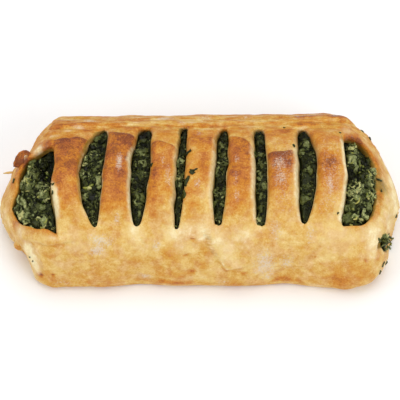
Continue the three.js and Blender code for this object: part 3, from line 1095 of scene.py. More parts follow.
def creaseMarks(points, surface):
    front = ease(*creaseForm["front"], points[:, 1])
    below, above = creaseForm["shade"], creaseForm["edge"]
    lifted, shade, paintedEdgeHighlights = np.zeros((3, len(points)))
    for crease in creases:
        away = creaseDistance(points, surface, crease)
        step = ease(*creaseForm["step"], away) * ease(crease["reach"], 0, away)
        lifted += crease["height"] * step * front
        shade += crease["shade"] * hump(away + below["at"], below["width"]) * front
        edge = above["cream"] * crease["shade"] * hump(away - above["at"], above["width"]) * front
        paintedEdgeHighlights = np.maximum(paintedEdgeHighlights, edge)
    return lifted, shade, paintedEdgeHighlights


def pitHollows(points, surface):
    hollows = np.zeros(len(points))
    for pit in pits:
        place = intoLoaf(behindPixel(surface, *pit["pixel"])[0])
        hollows = np.maximum(hollows, hump(np.linalg.norm(points - place, axis=1), pit["width"]))
    return hollows


# pale dough and juice on the walls of the openings: between which distances each comes in, in mm
cutLook = {
    "left": (2.2, 0.0),  # from the left wall
    "right": (1.1, 0.0),
    "opposite": (0.4, -0.2),
    "ownSlit": (0.3, 0.0),
    "strip": (2.2, 0.0),  # from a mouth's strip and lip
    "lip": (0.6, -0.4),
    "creamTop": (-1.4, 0.6),  # below the crust
    "creamFoot": (5.0, 2.6),
    "juiceTop": (-0.6, 0.6),
    "deep": (1.4, 3.6),
    "wall": (1.2, 0.2),
    "towardBack": (2, 15),  # where there is less cream and more juice
    "creamLoss": 0.6,
    "juiceGain": 0.35,
}


def cutFaces(points, cuts):
    x, y, z = points.T
    depth = cuts["depth"]
    towardBack = ease(*cutLook["towardBack"], y)
    cream, juicy = np.zeros((2, len(points)))
    for slit in slits:
        left, right = slitSides(slit, x, y, depth)
        ofThis = ease(*cutLook["ownSlit"], cuts["slit"] - np.maximum(left, right))
        onLeft = ease(*cutLook["left"], left) * ease(*cutLook["opposite"], right) * ofThis
        onRight = ease(*cutLook["right"], right) * ease(*cutLook["opposite"], left) * ofThis
        cream = np.maximum(cream, slit["cream"] * onLeft * (1 - cutLook["creamLoss"] * towardBack))
        cream = np.maximum(cream, slit["rim"] * onRight)
        wetness = slit["juice"] + cutLook["juiceGain"] * towardBack
        juicy = np.maximum(juicy, wetness * onLeft * ease(*cutLook["juiceTop"], depth))
    for mouth, (lipSide, stripSide) in zip(mouths, cuts["mouths"]):
        cut = mouth["cream"] * mouthSlope(mouth, y)
        onStrip = ease(*cutLook["strip"], np.abs(stripSide)) * ease(*cutLook["lip"], lipSide)
        cream = np.maximum(cream, cut * onStrip)
    cream = cream * ease(*cutLook["creamTop"], depth) * ease(*cutLook["creamFoot"], depth)
    deep = ease(*cutLook["deep"], depth) * ease(*cutLook["wall"], cuts["all"])
    return cream, np.maximum(deep, juicy)


# flour on the strips, with painted sheen flecks among it, and flour along the back
dustingAndSheen = {
    "front": (-34, -22),
    "end": (20, 10),
    "left": (0.0, 0.25),
    "right": (1.0, 0.7),
    "back": 0.26,
    "backFrom": (24, 34),
    "backRightFrom": (10, 50),
}


def crustDustAndSheen(points):
    x, y, z = points.T
    which, across = stripPlace(x, y)
    stripDustAndSheen = ofStrip(which, "flour") * ease(*dustingAndSheen["front"], y) * ease(*dustingAndSheen["end"], y)
    stripDustAndSheen = stripDustAndSheen * ease(*dustingAndSheen["left"], across) * ease(*dustingAndSheen["right"], across)
    onBack = ease(*dustingAndSheen["backFrom"], y) * ease(*dustingAndSheen["backRightFrom"], x)
    return np.maximum(stripDustAndSheen, dustingAndSheen["back"] * onBack)


# where the finish shows layers of dough: on the back, and less so low down
layering = {"back": (14, 22), "high": (16, 27), "low": 0.5, "lowHeights": (9, 3), "least": 0.12}


def crustLayers(points):
    x, y, z = points.T
    layers = ease(*layering["back"], y) * ease(*layering["high"], z)
    layers = np.maximum(layers, layering["low"] * ease(*layering["lowHeights"], z))
    return np.maximum(layers, layering["least"])


def makePastry():
    step = pastry["step"]
    xs, ys, zs = gridOf(step)
    vertices, faces = surfaceNets(pastryField(xs, ys, zs, step), (xs[0], ys[0], zs[0]), step)
    piece = meshPiece("pastryCase", vertices, faces)
    size = loafSize(*vertices.T, crustRise(vertices[:, 0], vertices[:, 1]), 0.0)
    farFromCut = cutDistances(vertices)["all"] > pastry["buriedPast"]
    buried = farFromCut | (vertices[:, 2] < pastry["buriedFoot"])
    hidden = (size < pastry["innerSize"]) & buried & unpushed(vertices)
    thinned(piece, pastry["triangles"], pastry["smoothing"], hidden)

    points = pointsOf(piece)
    cuts = cutDistances(points)
    size = loafSize(*points.T, crustRise(points[:, 0], points[:, 1]), 0.0)
    outside = ease(*pastry["outerSizes"], size)
    lump = crustLumps(points)
    points = unevenDough(points, normalsOf(piece), lump, outside, cuts)
    setPoints(piece, intoFrame(points))

    surface = surfaceOf(piece)
    lifted, shade, paintedEdgeHighlights = creaseMarks(points, surface)
    hollows = pitHollows(points, surface)
    relief = (lifted - pastry["pitDepth"] * hollows) * outside
    points = points + normalsOf(piece) * relief[:, None]
    points[:, 2] = np.maximum(points[:, 2], 0)
    setPoints(piece, intoFrame(points))

    # what the finish reads
    bake = crustBake(points, cuts) + spotted(points, surface, brownAndShadeSpots)
    # the creases' painted shade darkens the bake
    bake = bake + browning["pit"] * hollows + shade + browning["lump"] * lump
    cream, juice = cutFaces(points, cuts)
    # the painted highlights along the creases' edges and the painted light of some cream spots go into the
    # cream
    cream = np.max([cream, paintedEdgeHighlights, spotted(points, surface, creamAndLightSpots)], axis=0)
    # the stain carries juice and, at the right mouth's back rim, painted shade
    stain = np.maximum(juice, spotted(points, surface, stainAndShadeSpots))
    setAttribute(piece, "bake", bake)
    setAttribute(piece, "cream", cream)
    setAttribute(piece, "flour", np.maximum(crustDustAndSheen(points), spotted(points, surface, flourSpots)))
    setAttribute(piece, "stain", np.clip(stain, 0, 1))
    setAttribute(piece, "layers", crustLayers(points))
    print("pastry case:", len(piece.data.polygons), "faces")
    return piece, surface


# how much each noise changes the crust's tone, how ragged what lies on it ends, and how much that hides
doughLook = {
    "broad": 0.65,
    "fine": 0.6,
    "speck": 0.1,
    "bakedSpeck": 1.2,
    "layered": 1.3,
    "blotch": 0.7,
    "raggedCream": 0.9,
    "raggedJuice": 1.2,
    "raggedFlour": 2.6,
    "juice": 0.85,
    "flour": 0.8,
    "roughness": 0.52,
    "bump": 0.7,
    "bumpDepth": 0.8,
}


# the colours of bake, from pale to dark, of the dough inside, of juice and of flour, whose colour also
# paints sheen
crustTones = {
    "golden": [
        (0.0, (240, 215, 156)), (0.2, (228, 193, 116)), (0.4, (213, 160, 68)),
        (0.6, (203, 129, 29)), (0.8, (180, 103, 26)), (1.0, (134, 70, 26)),
    ],
    "ruddy": [
        (0.0, (238, 208, 158)), (0.2, (226, 187, 122)), (0.4, (210, 154, 76)),
        (0.6, (198, 123, 42)), (0.8, (174, 95, 36)), (1.0, (126, 62, 30)),
    ],
    "inside": [(0.3, (234, 206, 144)), (0.65, (252, 238, 194))],
    "juice": [(0.3, (98, 82, 26)), (0.7, (176, 138, 52))],
    "flour": (222, 206, 188),
}


def pastryMaterial():
    material, shader, place = newMaterial("bakedDough", {
        "Specular IOR Level": 0.3, "Subsurface Weight": 0.1, "Subsurface Radius": (1.0, 0.6, 0.3),
        "Subsurface Scale": 1.2 * mm})
    bake, cream, stain, flour, layers = (
        attribute(place, name) for name in ("bake", "cream", "stain", "flour", "layers"))
    broad = noise(place, 8.0, 3.0)
    fine = noise(place, 2.4, 5.0, 0.65)
    speck = noise(place, 0.75, 3.0, 0.7)
    layered = noise(place.stretched((0.22, 1, 1)), 1.8, 4.0, 0.6)
    blotch = noise(place, 3.4, 2.0)
    tone = bake + (broad - 0.5) * doughLook["broad"] + (fine - 0.5) * doughLook["fine"]
    tone = tone + (speck - 0.5) * (bake * doughLook["bakedSpeck"] + doughLook["speck"])
    tone = tone + (layered - 0.5) * doughLook["layered"] * layers
    tone = tone + (blotch - 0.5) * bake * doughLook["blotch"]
    golden = ramped(tone, crustTones["golden"])
    ruddy = ramped(tone, crustTones["ruddy"])
    colour = mixed(golden, ruddy, noise(place, 5.0, 2.0).between(0.42, 0.62))

    # pale dough with painted light, juice with painted shade, and flour with painted sheen lie over the
    # bake
    inside = ramped(fine, crustTones["inside"])
    pale = (cream * 1.1 + (fine - 0.5) * doughLook["raggedCream"]).between(0.05, 0.95)
    colour = mixed(colour, inside, pale)
    juice = ramped(fine, crustTones["juice"])
    juiceAndShade = (stain * 1.2 + (noise(place, 3.0, 3.0) - 0.5) * doughLook["raggedJuice"]).between(0.1, 1.1)
    colour = mixed(colour, juice, juiceAndShade * doughLook["juice"])
    grain = noise(place, 0.8, 3.0, 0.7)
    grainy = (grain - 0.5) * doughLook["raggedFlour"] * flour.between(0.02, 0.35)
    dustAndSheen = (flour + grainy).between(0.25, 1.15) * doughLook["flour"]
    colour = mixed(colour, (*linear(*crustTones["flour"]), 1), dustAndSheen)
    plug(shader, "Base Color", colour)
    plug(shader, "Roughness", doughLook["roughness"] + (fine - 0.5) * 0.3 + dustAndSheen * 0.25)
    relief = fine * 0.6 + speck * 0.5 + dustAndSheen * 0.2 + layered * 0.9 * layers
    bumped(shader, relief, doughLook["bump"], doughLook["bumpDepth"])
    return material


# the spinach filling

filling = {
    "step": 0.65,
    "triangles": 110000,
    "smoothing": 2,
    "buriedPast": 0.5,
    "buriedDepth": 8.0,
    "gap": 0.4,
    "recess": 1.3,
    "mouthRecess": 1.2,
    "clumps": [(5.2, 1.5), (2.8, 0.8)],  # size and height of the heaped lumps
    "clumpSpread": 3.2,
    "heave": 0.8,  # how much of the lumps there is, and how much of that in the slits
    "slitShare": 0.55,
    "sink": 0.7,
    "slitPaintedShade": 0.06,  # painted shade: darker in the slits, most of all at their back ends
    "backPaintedShade": 0.5,
    "tearShift": (-1.2, 0.0, -0.4),  # the bulge behind the tear, against the tear's own form
    "tearShrink": 1.0,
    "showPast": (-0.3, -0.9),  # where the heap shows: past the walls, at these depths and facing up
    "showDepth": (7.5, 5.0),
    "showUp": (0.0, 0.4),
    "tearPast": (0.3, -0.5),
    "tearDepth": (5.5, 3.5),
    "roomyPast": (-0.6, -1.8),
    "mouthFrom": (58, 62),
    "backFrom": (8, 19),
    "hollowPast": (1.0, 0.2),
    "hollowDepth": (12, 3),
    "hollows": [  # where the heap falls away from a strip, and how much painted shade darkens it there
        {"at": (-66.8, -0.5), "reach": (4.8, 9.0), "depth": 6.0, "paintedShade": 0.8},
        {"at": (-25.0, -4.0), "reach": (5.0, 26.0), "depth": 0.4, "paintedShade": 0.28},
        {"at": (26.7, 8.0), "reach": (5.0, 10.0), "depth": 0.8, "paintedShade": 0.3},
        {"at": (26.7, -25.0), "reach": (4.0, 5.0), "depth": 0.2, "paintedShade": 0.3},
        {"at": (-69.0, -6.0), "reach": (2.6, 5.0), "depth": 0.4, "paintedShade": 0.3},
        {"at": (66.5, 11.5), "reach": (5.0, 4.0), "depth": 2.6, "paintedShade": 0.15},
        {"at": (67.2, -4.5), "reach": (4.2, 4.6), "depth": 0.8, "paintedShade": 0.7},
        {"at": (73.5, 8.0), "reach": (4.0, 5.0), "depth": 0.3, "paintedShade": 0.5},
    ],
}


def fillingField(xs, ys, zs, step):
    x, y, z = xs[:, None, None], ys[None, :, None], zs[None, None, :]
    field = loafField(x, y, z, 0.0, loaf["dough"] + filling["gap"], step)
    for kind, opening in openings:
        block = columnsNear(opening, xs)
        recess = filling["recess"] if kind is slitField else filling["mouthRecess"]
        swell = loafField(x[block], y, z, 0.0, recess, step)
        wall = kind(opening, x[block], y, loaf["dough"] + 0 * z) + filling["gap"]
        column = np.maximum(np.maximum(wall, pastry["cutFloor"] + 1 - z), swell)
        field[block] = np.minimum(field[block], column)
    centre, radii = pastry["tears"][0]
    centre = [place + shift for place, shift in zip(centre, filling["tearShift"])]
    bulge = eggField((x, y, z), centre, [radius - filling["tearShrink"] for radius in radii])
    return np.minimum(field, bulge)


def makeFilling():
    step = filling["step"]
    xs, ys, zs = gridOf(step)
    vertices, faces = surfaceNets(fillingField(xs, ys, zs, step), (xs[0], ys[0], zs[0]), step)
    piece = meshPiece("spinachCore", vertices, faces)
    cuts = cutDistances(vertices)
    buried = (cuts["all"] > filling["buriedPast"]) | (cuts["depth"] > filling["buriedDepth"])
    thinned(piece, filling["triangles"], filling["smoothing"], buried & unpushed(vertices))
    points, normals = pointsOf(piece), normalsOf(piece)
    cuts = cutDistances(points)
    show = ease(*filling["showPast"], cuts["all"]) * ease(*filling["showDepth"], cuts["depth"])
    show = show * ease(*filling["showUp"], normals[:, 2])
    inTear = ease(*filling["tearPast"], cuts["tear"]) * ease(*filling["tearDepth"], cuts["depth"])
    show = np.maximum(show, inTear)
    clump = np.zeros(len(points))
    for i, (size, height) in enumerate(filling["clumps"]):
        clump += height * (filling["clumpSpread"] * np.abs(valueNoise(points, size, 31 + i)) - 1)
    highest = sum(height for size, height in filling["clumps"])
    inMouth = ease(*filling["mouthFrom"], np.abs(points[:, 0]))
    share = filling["slitShare"] + (1 - filling["slitShare"]) * inMouth
    heave = (filling["heave"] * clump - filling["sink"]) * share
    # painted shade: darker in the slits, towards their back ends and in the hollows
    backPaintedShade = filling["backPaintedShade"] * ease(*filling["backFrom"], points[:, 1])
    paintedShade = (filling["slitPaintedShade"] + backPaintedShade) * (1 - inMouth)
    points = points + normals * (heave * show)[:, None]
    for hollow in filling["hollows"]:
        offset = (points[:, :2] - np.array(hollow["at"])) / np.array(hollow["reach"])
        fall = hump(np.hypot(*offset.T), 1.0) * ease(*filling["hollowPast"], cuts["all"])
        fall = fall * ease(*filling["hollowDepth"], cuts["depth"])
        points[:, 2] -= hollow["depth"] * fall
        paintedShade += hollow["paintedShade"] * fall
    setPoints(piece, intoFrame(pushed(points)))
    setAttribute(piece, "open", show)
    setAttribute(piece, "roomy", show * ease(*filling["roomyPast"], cuts["all"]))
    setAttribute(piece, "openEnds", show * inMouth)
    # painted light and shade: paler on the tops of the lumps, darker in the gaps and where the painted
    # shade lies
    setAttribute(piece, "heap", np.clip(0.5 + 0.5 * clump / highest, 0, 1) - paintedShade)
    print("spinach core:", len(piece.data.polygons), "faces")
    return piece


# a closed thin sheet: a grid of points, thickened, with both faces split into triangles alike
def solidSheet(grid, thickness):
    rows, columns = grid.shape[:2]
    normals = np.cross(np.gradient(grid, axis=0), np.gradient(grid, axis=1))
    normals = normals / np.linalg.norm(normals, axis=2, keepdims=True)
    top = grid.reshape(-1, 3)
    count = len(top)
    faces = []
    for i in range(rows - 1):
        for j in range(columns - 1):
            a = i * columns + j
            b, c, d = a + columns, a + columns + 1, a + 1
            faces += [(a, b, c), (a, c, d)]
            faces += [(a + count, c + count, b + count), (a + count, d + count, c + count)]
    rim = [i * columns for i in range(rows)]
    rim += [(rows - 1) * columns + j for j in range(1, columns)]
    rim += [i * columns + columns - 1 for i in range(rows - 2, -1, -1)]
    rim += list(range(columns - 2, 0, -1))
    for a, b in zip(rim, rim[1:] + rim[:1]):
        faces += [(b, a, a + count), (b, a + count, b + count)]
    return np.concatenate([top, top - thickness * normals.reshape(-1, 3)]), np.array(faces)


leafForm = {"taper": 0.5, "ragged": (0.75, 1.15), "aside": (-0.2, 0.2), "cup": 0.8, "waves": (2.6, 1.4)}
stemForm = {"taper": 0.45, "ragged": (0.85, 1.15)}


# a thin wavy shred of leaf
def leafShred(length, width, curl, wave, thickness, seed, crumple=0.12, columns=3):
    draw = np.random.default_rng(seed)
    rows = 5
    along, across = leafForm["waves"]
    grid = np.zeros((rows, columns, 3))
    for i, t in enumerate(np.linspace(-1, 1, rows)):
        half = width / 2 * (1 - leafForm["taper"] * t * t) * draw.uniform(*leafForm["ragged"])
        aside = draw.uniform(*leafForm["aside"]) * width
        for j, s in enumerate(np.linspace(-1, 1, columns)):
            ripple = wave * math.sin(along * t + across * s + seed)
            lift = -curl * (t * t + leafForm["cup"] * s * s) + ripple
            grid[i, j] = (length / 2 * t, aside + half * s, lift + draw.uniform(-crumple, crumple) * width)
    return solidSheet(grid, thickness)


# a stem: a bent rod that thins at both ends
def stemRod(length, radius, bend, seed):
    draw = np.random.default_rng(seed)
    rings, sides = 5, 5
    points = []
    for t in np.linspace(-1, 1, rings):
        girth = radius * (1 - stemForm["taper"] * t * t) * draw.uniform(*stemForm["ragged"])
        for k in range(sides):
            turn = 2 * math.pi * k / sides
            points.append((length / 2 * t, bend * t * t + girth * math.cos(turn), girth * math.sin(turn)))
    faces = []
    for i in range(rings - 1):
        for k in range(sides):
            a, b = i * sides + k, i * sides + (k + 1) % sides
            faces += [(a, b, b + sides), (a, b + sides, a + sides)]
    tips = len(points)
    points += [(-length / 2 - radius / 2, bend, 0), (length / 2 + radius / 2, bend, 0)]
    last = (rings - 1) * sides
    for k in range(sides):
        faces.append((tips, (k + 1) % sides, k))
        faces.append((tips + 1, last + k, last + (k + 1) % sides))
    return np.array(points), np.array(faces)


leaves = {
    "where": "roomy", "count": 420, "scale": (0.4, 0.85), "tilt": 0.5, "lift": 0.7,
    "seed": 5, "shapeSeed": 0,
    "form": {"crumple": 0.2, "columns": 4, "thickness": 0.35},
    "shapes": [
        {"length": 6.4, "width": 4.4, "curl": 0.9, "wave": 0.5},
        {"length": 5.0, "width": 3.8, "curl": 0.8, "wave": 0.6},
        {"length": 6.0, "width": 2.8, "curl": 0.7, "wave": 0.7},
        {"length": 4.0, "width": 3.2, "curl": 0.7, "wave": 0.4},
    ],
}
shreds = {
    "where": "open", "count": 3000, "scale": (0.35, 0.8), "tilt": 0.8, "lift": 0.9,
    "seed": 17, "shapeSeed": 9,
    "form": {"crumple": 0.12, "columns": 3, "thickness": 0.3},
    "shapes": [
        {"length": 2.8, "width": 1.4, "curl": 0.3, "wave": 0.25},
        {"length": 2.0, "width": 1.5, "curl": 0.25, "wave": 0.2},
        {"length": 3.4, "width": 0.9, "curl": 0.4, "wave": 0.4},
    ],
}
stems = {
    "where": "openEnds", "count": 60, "scale": (0.6, 1.1), "tilt": 0.7, "lift": 0.9,
    "seed": 29, "shapeSeed": 20,
    "form": {},
    "shapes": [
        {"length": 3.0, "radius": 0.42, "bend": 0.5},
        {"length": 1.9, "radius": 0.6, "bend": 0.3},
        {"length": 1.0, "radius": 0.7, "bend": 0.1},
    ],
}


def socketNamed(tree, name):
    return next(item.identifier for item in tree.interface.items_tree if item.name == name)


# scatters instances of some small meshes over the part of a surface that shows
def scatterTree(name, kinds, material, where):
    tree = bpy.data.node_groups.new(name, "GeometryNodeTree")
    sockets = {"Surface": "Geometry", "Seed": "Int"}
    sockets.update({label: "Float" for label in ("Density", "Smallest", "Largest", "Tilt", "Lift")})
    for label, kind in sockets.items():
        tree.interface.new_socket(label, in_out="INPUT", socket_type="NodeSocket" + kind)
    tree.interface.new_socket("Pieces", in_out="OUTPUT", socket_type="NodeSocketGeometry")
    inlet = tree.nodes.new("NodeGroupInput")
    given = {label: Wire(tree, inlet.outputs[label]) for label in sockets}
    add = given["Surface"].node

    # a random value for each point; the salt keeps the draws apart
    def drawn(kind, low, high, salt):
        seed = add("FunctionNodeIntegerMath", {"operation": "ADD"}, {0: given["Seed"], 1: salt})
        lowest, highest, output = {"FLOAT": (2, 3, 1), "INT": (4, 5, 2), "FLOAT_VECTOR": (0, 1, 0)}[kind]
        return add("FunctionNodeRandomValue", {"data_type": kind},
                   {lowest: low, highest: high, "Seed": seed}, output)

    shown = add("GeometryNodeInputNamedAttribute", {"data_type": "FLOAT"}, {0: where})
    points = add("GeometryNodeDistributePointsOnFaces", {}, {
        "Mesh": given["Surface"], "Density": given["Density"] * shown, "Seed": given["Seed"]}, "Points")
    lift = drawn("FLOAT", -0.3, 1.0, 7) * given["Lift"]
    away = add("ShaderNodeVectorMath", {"operation": "SCALE"}, {0: points.beside("Normal"), "Scale": lift})
    moved = add("GeometryNodeSetPosition", {}, {"Geometry": points, "Offset": away})
    tilts = add("ShaderNodeCombineXYZ", {}, {0: given["Tilt"], 1: given["Tilt"], 2: 1.0})
    sway = drawn("FLOAT_VECTOR", (-1, -1, -math.pi), (1, 1, math.pi), 3).stretched(tilts)
    turn = add("FunctionNodeEulerToRotation", {}, {0: sway})
    turned = add("FunctionNodeRotateRotation", {"rotation_space": "LOCAL"},
                 {0: points.beside("Rotation"), 1: turn})
    shapes = add("GeometryNodeJoinGeometry")
    for kind in kinds:
        shape = add("GeometryNodeObjectInfo", {}, {"Object": kind, "As Instance": True}, "Geometry")
        tree.links.new(shape.socket, shapes.socket.node.inputs[0])
    placed = add("GeometryNodeInstanceOnPoints", {}, {
        "Points": moved, "Instance": shapes, "Pick Instance": True, "Rotation": turned,
        "Instance Index": drawn("INT", 0, len(kinds) - 1, 1),
        "Scale": drawn("FLOAT", given["Smallest"], given["Largest"], 2)})
    tinted = add("GeometryNodeStoreNamedAttribute", {"data_type": "FLOAT", "domain": "INSTANCE"}, {
        "Geometry": placed, "Name": "tint", "Value": drawn("FLOAT", 0.0, 1.0, 4)})
    real = add("GeometryNodeRealizeInstances", {}, {0: tinted})
    finished = add("GeometryNodeSetMaterial", {}, {0: real, "Material": material})
    tree.links.new(finished.socket, tree.nodes.new("NodeGroupOutput").inputs[0])
    return tree


def areaShown(piece, where):
    mesh = piece.data
    shown = fetched(mesh.attributes[where].data, "value")
    corners = fetched(mesh.loops, "vertex_index", np.int32)
    starts = fetched(mesh.polygons, "loop_start", np.int32)
    sides = fetched(mesh.polygons, "loop_total", np.int32)
    areas = fetched(mesh.polygons, "area")
    return float(np.sum(areas * np.add.reduceat(shown[corners], starts) / sides))


def scattered(name, surface, makeShape, material, settings):
    kinds = []
    for i, shape in enumerate(settings["shapes"]):
        points, faces = makeShape(**shape, **settings["form"], seed=settings["shapeSeed"] + i)
        kinds.append(meshPiece(f"{name}{i}", points * mm, faces))
    carrier = bpy.data.objects.new(name, surface.data.copy())
    bpy.context.scene.collection.objects.link(carrier)
    tree = scatterTree(name + "Tree", kinds, material, settings["where"])
    modifier = carrier.modifiers.new("scatter", "NODES")
    modifier.node_group = tree
    values = {
        "Density": settings["count"] / areaShown(surface, settings["where"]),
        "Smallest": settings["scale"][0], "Largest": settings["scale"][1],
        "Tilt": settings["tilt"], "Lift": settings["lift"] * mm, "Seed": settings["seed"],
    }
    for label, value in values.items():
        modifier[socketNamed(tree, label)] = value
    applyModifiers(carrier)
    for kind in kinds:
        bpy.data.objects.remove(kind)
    print(name + ":", len(carrier.data.polygons), "faces")
    return carrier


# how much each changes the tone of the spinach, and its tones from dark to pale; the palest tones are in
# part painted highlights of wet leaves
spinachLook = {
    "tint": 0.7, "heap": 0.8, "dark": 0.24, "vein": 0.9, "patch": 0.45, "roughness": 0.34,
    "tones": [
        (0.0, (13, 15, 6)), (0.3, (42, 46, 15)), (0.55, (79, 85, 37)),
        (0.78, (116, 123, 72)), (0.93, (148, 155, 102)), (1.0, (186, 184, 118)),
    ],
}
stemLook = {
    "tint": 0.8, "streak": 0.5, "pale": 0.1,
    "tones": [(0.1, (84, 98, 30)), (0.45, (134, 140, 50)), (0.7, (172, 166, 76)), (0.95, (206, 198, 136))],
}
coreTones = [(0.3, (20, 23, 10)), (0.55, (40, 45, 19)), (0.75, (70, 76, 34))]


def spinachMaterial():
    material, shader, place = newMaterial("choppedSpinach", {"Specular IOR Level": 0.2})
    vein = noise(place, 0.8, 4.0, 0.65)
    patch = noise(place, 5.0, 2.0)
    # the lumps' painted light and shade makes the spinach paler or darker
    tone = attribute(place, "tint") * spinachLook["tint"] + attribute(place, "heap") * spinachLook["heap"]
    tone = tone - spinachLook["dark"]
    tone = tone + (vein - 0.5) * spinachLook["vein"] + (patch - 0.5) * spinachLook["patch"]
    plug(shader, "Base Color", ramped(tone, spinachLook["tones"]))
    plug(shader, "Roughness", spinachLook["roughness"] + (vein - 0.5) * 0.3)
    bumped(shader, vein, 0.4, 0.25)
    return material


def stemMaterial():
    material, shader, place = newMaterial("spinachStem", {"Roughness": 0.4})
    streak = noise(place, 0.7, 3.0)
    tone = attribute(place, "tint") * stemLook["tint"] + (streak - 0.5) * stemLook["streak"]
    plug(shader, "Base Color", ramped(tone + stemLook["pale"], stemLook["tones"]))
    bumped(shader, streak, 0.3, 0.2)
    return material


def coreMaterial():
    material, shader, place = newMaterial("spinachMass", {"Roughness": 0.5, "Specular IOR Level": 0.15})
    lumpy = noise(place, 1.6, 5.0, 0.65)
    plug(shader, "Base Color", ramped(lumpy, coreTones))
    bumped(shader, lumpy, 0.6, 0.6)
    return material


# bits of spinach behind a pixel of the photograph: sizes in mm, turn anticlockwise as the camera sees it,
# and tint from dark to pale

def leafAt(pixel, size, turn, tint):
    return {"pixel": pixel, "size": size, "turn": turn, "tint": tint}


def stemAt(pixel, length, radius, turn, tint):
    return {"pixel": pixel, "length": length, "radius": radius, "turn": turn, "tint": tint}


strayLeaves = [  # loose on the crust
    leafAt((53, 184), (1.6, 1.1), 20, 0.3),  # left end
    leafAt((53, 193), (1.5, 1.1), 60, 0.3),
    leafAt((14, 181), (2.2, 1.3), 60, 0.3),
    leafAt((30, 257), (0.9, 0.6), 0, 0.4),
    leafAt((33, 261), (1.0, 0.5), 30, 0.4),
    leafAt((152, 165), (1.9, 1.3), 60, 0.15),  # beside the slits
    leafAt((146, 201), (1.8, 1.1), 70, 0.2),
    leafAt((188, 153), (4.0, 1.5), 22, 0.1),
    leafAt((194, 170), (3.4, 1.0), 12, 0.1),
    leafAt((191, 172), (2.6, 1.4), 100, 0.1),
    leafAt((193, 173), (1.8, 1.0), 30, 0.1),
    leafAt((187, 181), (5.0, 1.7), 70, 0.15),
    leafAt((184, 194), (4.0, 3.0), 80, 0.25),
    leafAt((284, 128), (0.8, 0.5), 0, 0.2),
    leafAt((294, 146), (1.8, 1.1), 90, 0.15),
    leafAt((340, 133), (1.0, 0.7), 0, 0.2),  # right end
    leafAt((338, 213), (1.1, 0.7), 40, 0.2),
    leafAt((362, 131), (1.9, 1.3), 30, 0.15),
    leafAt((371, 138), (1.8, 1.2), -40, 0.15),
    leafAt((379, 180), (3.4, 1.1), 5, 0.15),
    leafAt((381, 191), (1.1, 0.8), 60, 0.2),
    leafAt((396, 216), (1.5, 1.1), 50, 0.2),
    leafAt((383, 264), (2.6, 1.3), 35, 0.2),
    leafAt((380, 272), (2.4, 1.0), 80, 0.2),
    leafAt((386, 263), (2.0, 1.0), 10, 0.3),
]
shownLeaves = [  # what stands out in the filling
    leafAt((31, 190), (6.0, 3.0), 100, 0.75),  # left end
    leafAt((46, 196), (4.2, 2.4), 80, 0.5),
    leafAt((25, 205), (5.5, 1.6), 105, 1.0),
    leafAt((20, 200), (5.0, 1.2), 100, 1.1),
    leafAt((37, 207), (4.6, 2.8), 60, 0.3),
    leafAt((33, 163), (3.6, 2.6), 20, 0.6),
    leafAt((28, 184), (1.8, 1.0), 60, 1.3),
    leafAt((24, 191), (1.6, 1.0), 30, 1.3),
    # lime curls along the front rim, their high tints in part painted light where the rim shades them
    leafAt((40, 220), (4.0, 1.4), 150, 1.2),
    leafAt((27, 224), (3.0, 1.2), 20, 1.4),
    leafAt((45, 226), (2.6, 1.3), 70, 1.4),
    leafAt((33, 227), (2.4, 1.0), 160, 1.4),
    leafAt((98, 140), (5.0, 3.0), 15, 0.55),  # slits
    leafAt((98, 181), (4.6, 3.0), 80, 0.95),
    leafAt((89, 188), (2.6, 1.6), 10, 1.25),
    leafAt((99, 197), (4.0, 1.8), 75, 0.6),
    leafAt((100, 188), (2.6, 1.8), 30, 0.9),
    leafAt((99, 209), (2.6, 1.6), 80, 0.6),
    leafAt((92, 213), (3.0, 2.0), 85, 0.5),
    leafAt((146, 152), (4.0, 2.4), 80, 0.55),
    leafAt((142, 198), (4.0, 2.4), 95, 0.5),
    leafAt((139, 214), (3.0, 1.6), 85, 0.7),
    leafAt((181, 178), (4.0, 1.2), 85, 0.35),
    leafAt((220, 152), (3.0, 1.6), 100, 0.5),
    leafAt((218, 172), (3.6, 1.6), 80, 0.65),
    leafAt((216, 204), (3.0, 2.0), 70, 0.55),
    leafAt((261, 166), (3.0, 1.4), 95, 0.5),
    leafAt((261, 196), (3.4, 1.6), 85, 0.6),
    leafAt((302, 152), (3.0, 2.0), 70, 0.5),
    leafAt((310, 172), (3.6, 2.0), 100, 0.55),
    leafAt((303, 200), (4.0, 2.6), 80, 0.55),
    leafAt((352, 162), (6.0, 4.4), 60, 0.95),  # right end
    leafAt((355, 169), (3.6, 2.6), 60, 0.95),
    leafAt((367, 162), (4.6, 3.4), 90, 0.15),
    leafAt((363, 177), (4.4, 3.0), 40, 0.1),
    leafAt((362, 187), (3.2, 1.6), 80, 1.1),
    leafAt((366, 196), (2.4, 1.2), 60, 1.0),
    leafAt((352, 205), (5.0, 3.4), 100, 0.45),
    leafAt((368, 207), (4.6, 3.0), 100, 0.75),
    leafAt((362, 213), (4.4, 2.8), 70, 1.05),
    leafAt((368, 188), (3.2, 2.0), 110, 0.8),
    leafAt((349, 216), (4.6, 3.0), 60, 0.45),
    leafAt((353, 218), (2.2, 1.0), 80, 1.3),
    leafAt((361, 220), (2.6, 1.2), 150, 1.2),
    leafAt((365, 217), (4.0, 2.6), 120, 1.1),
]
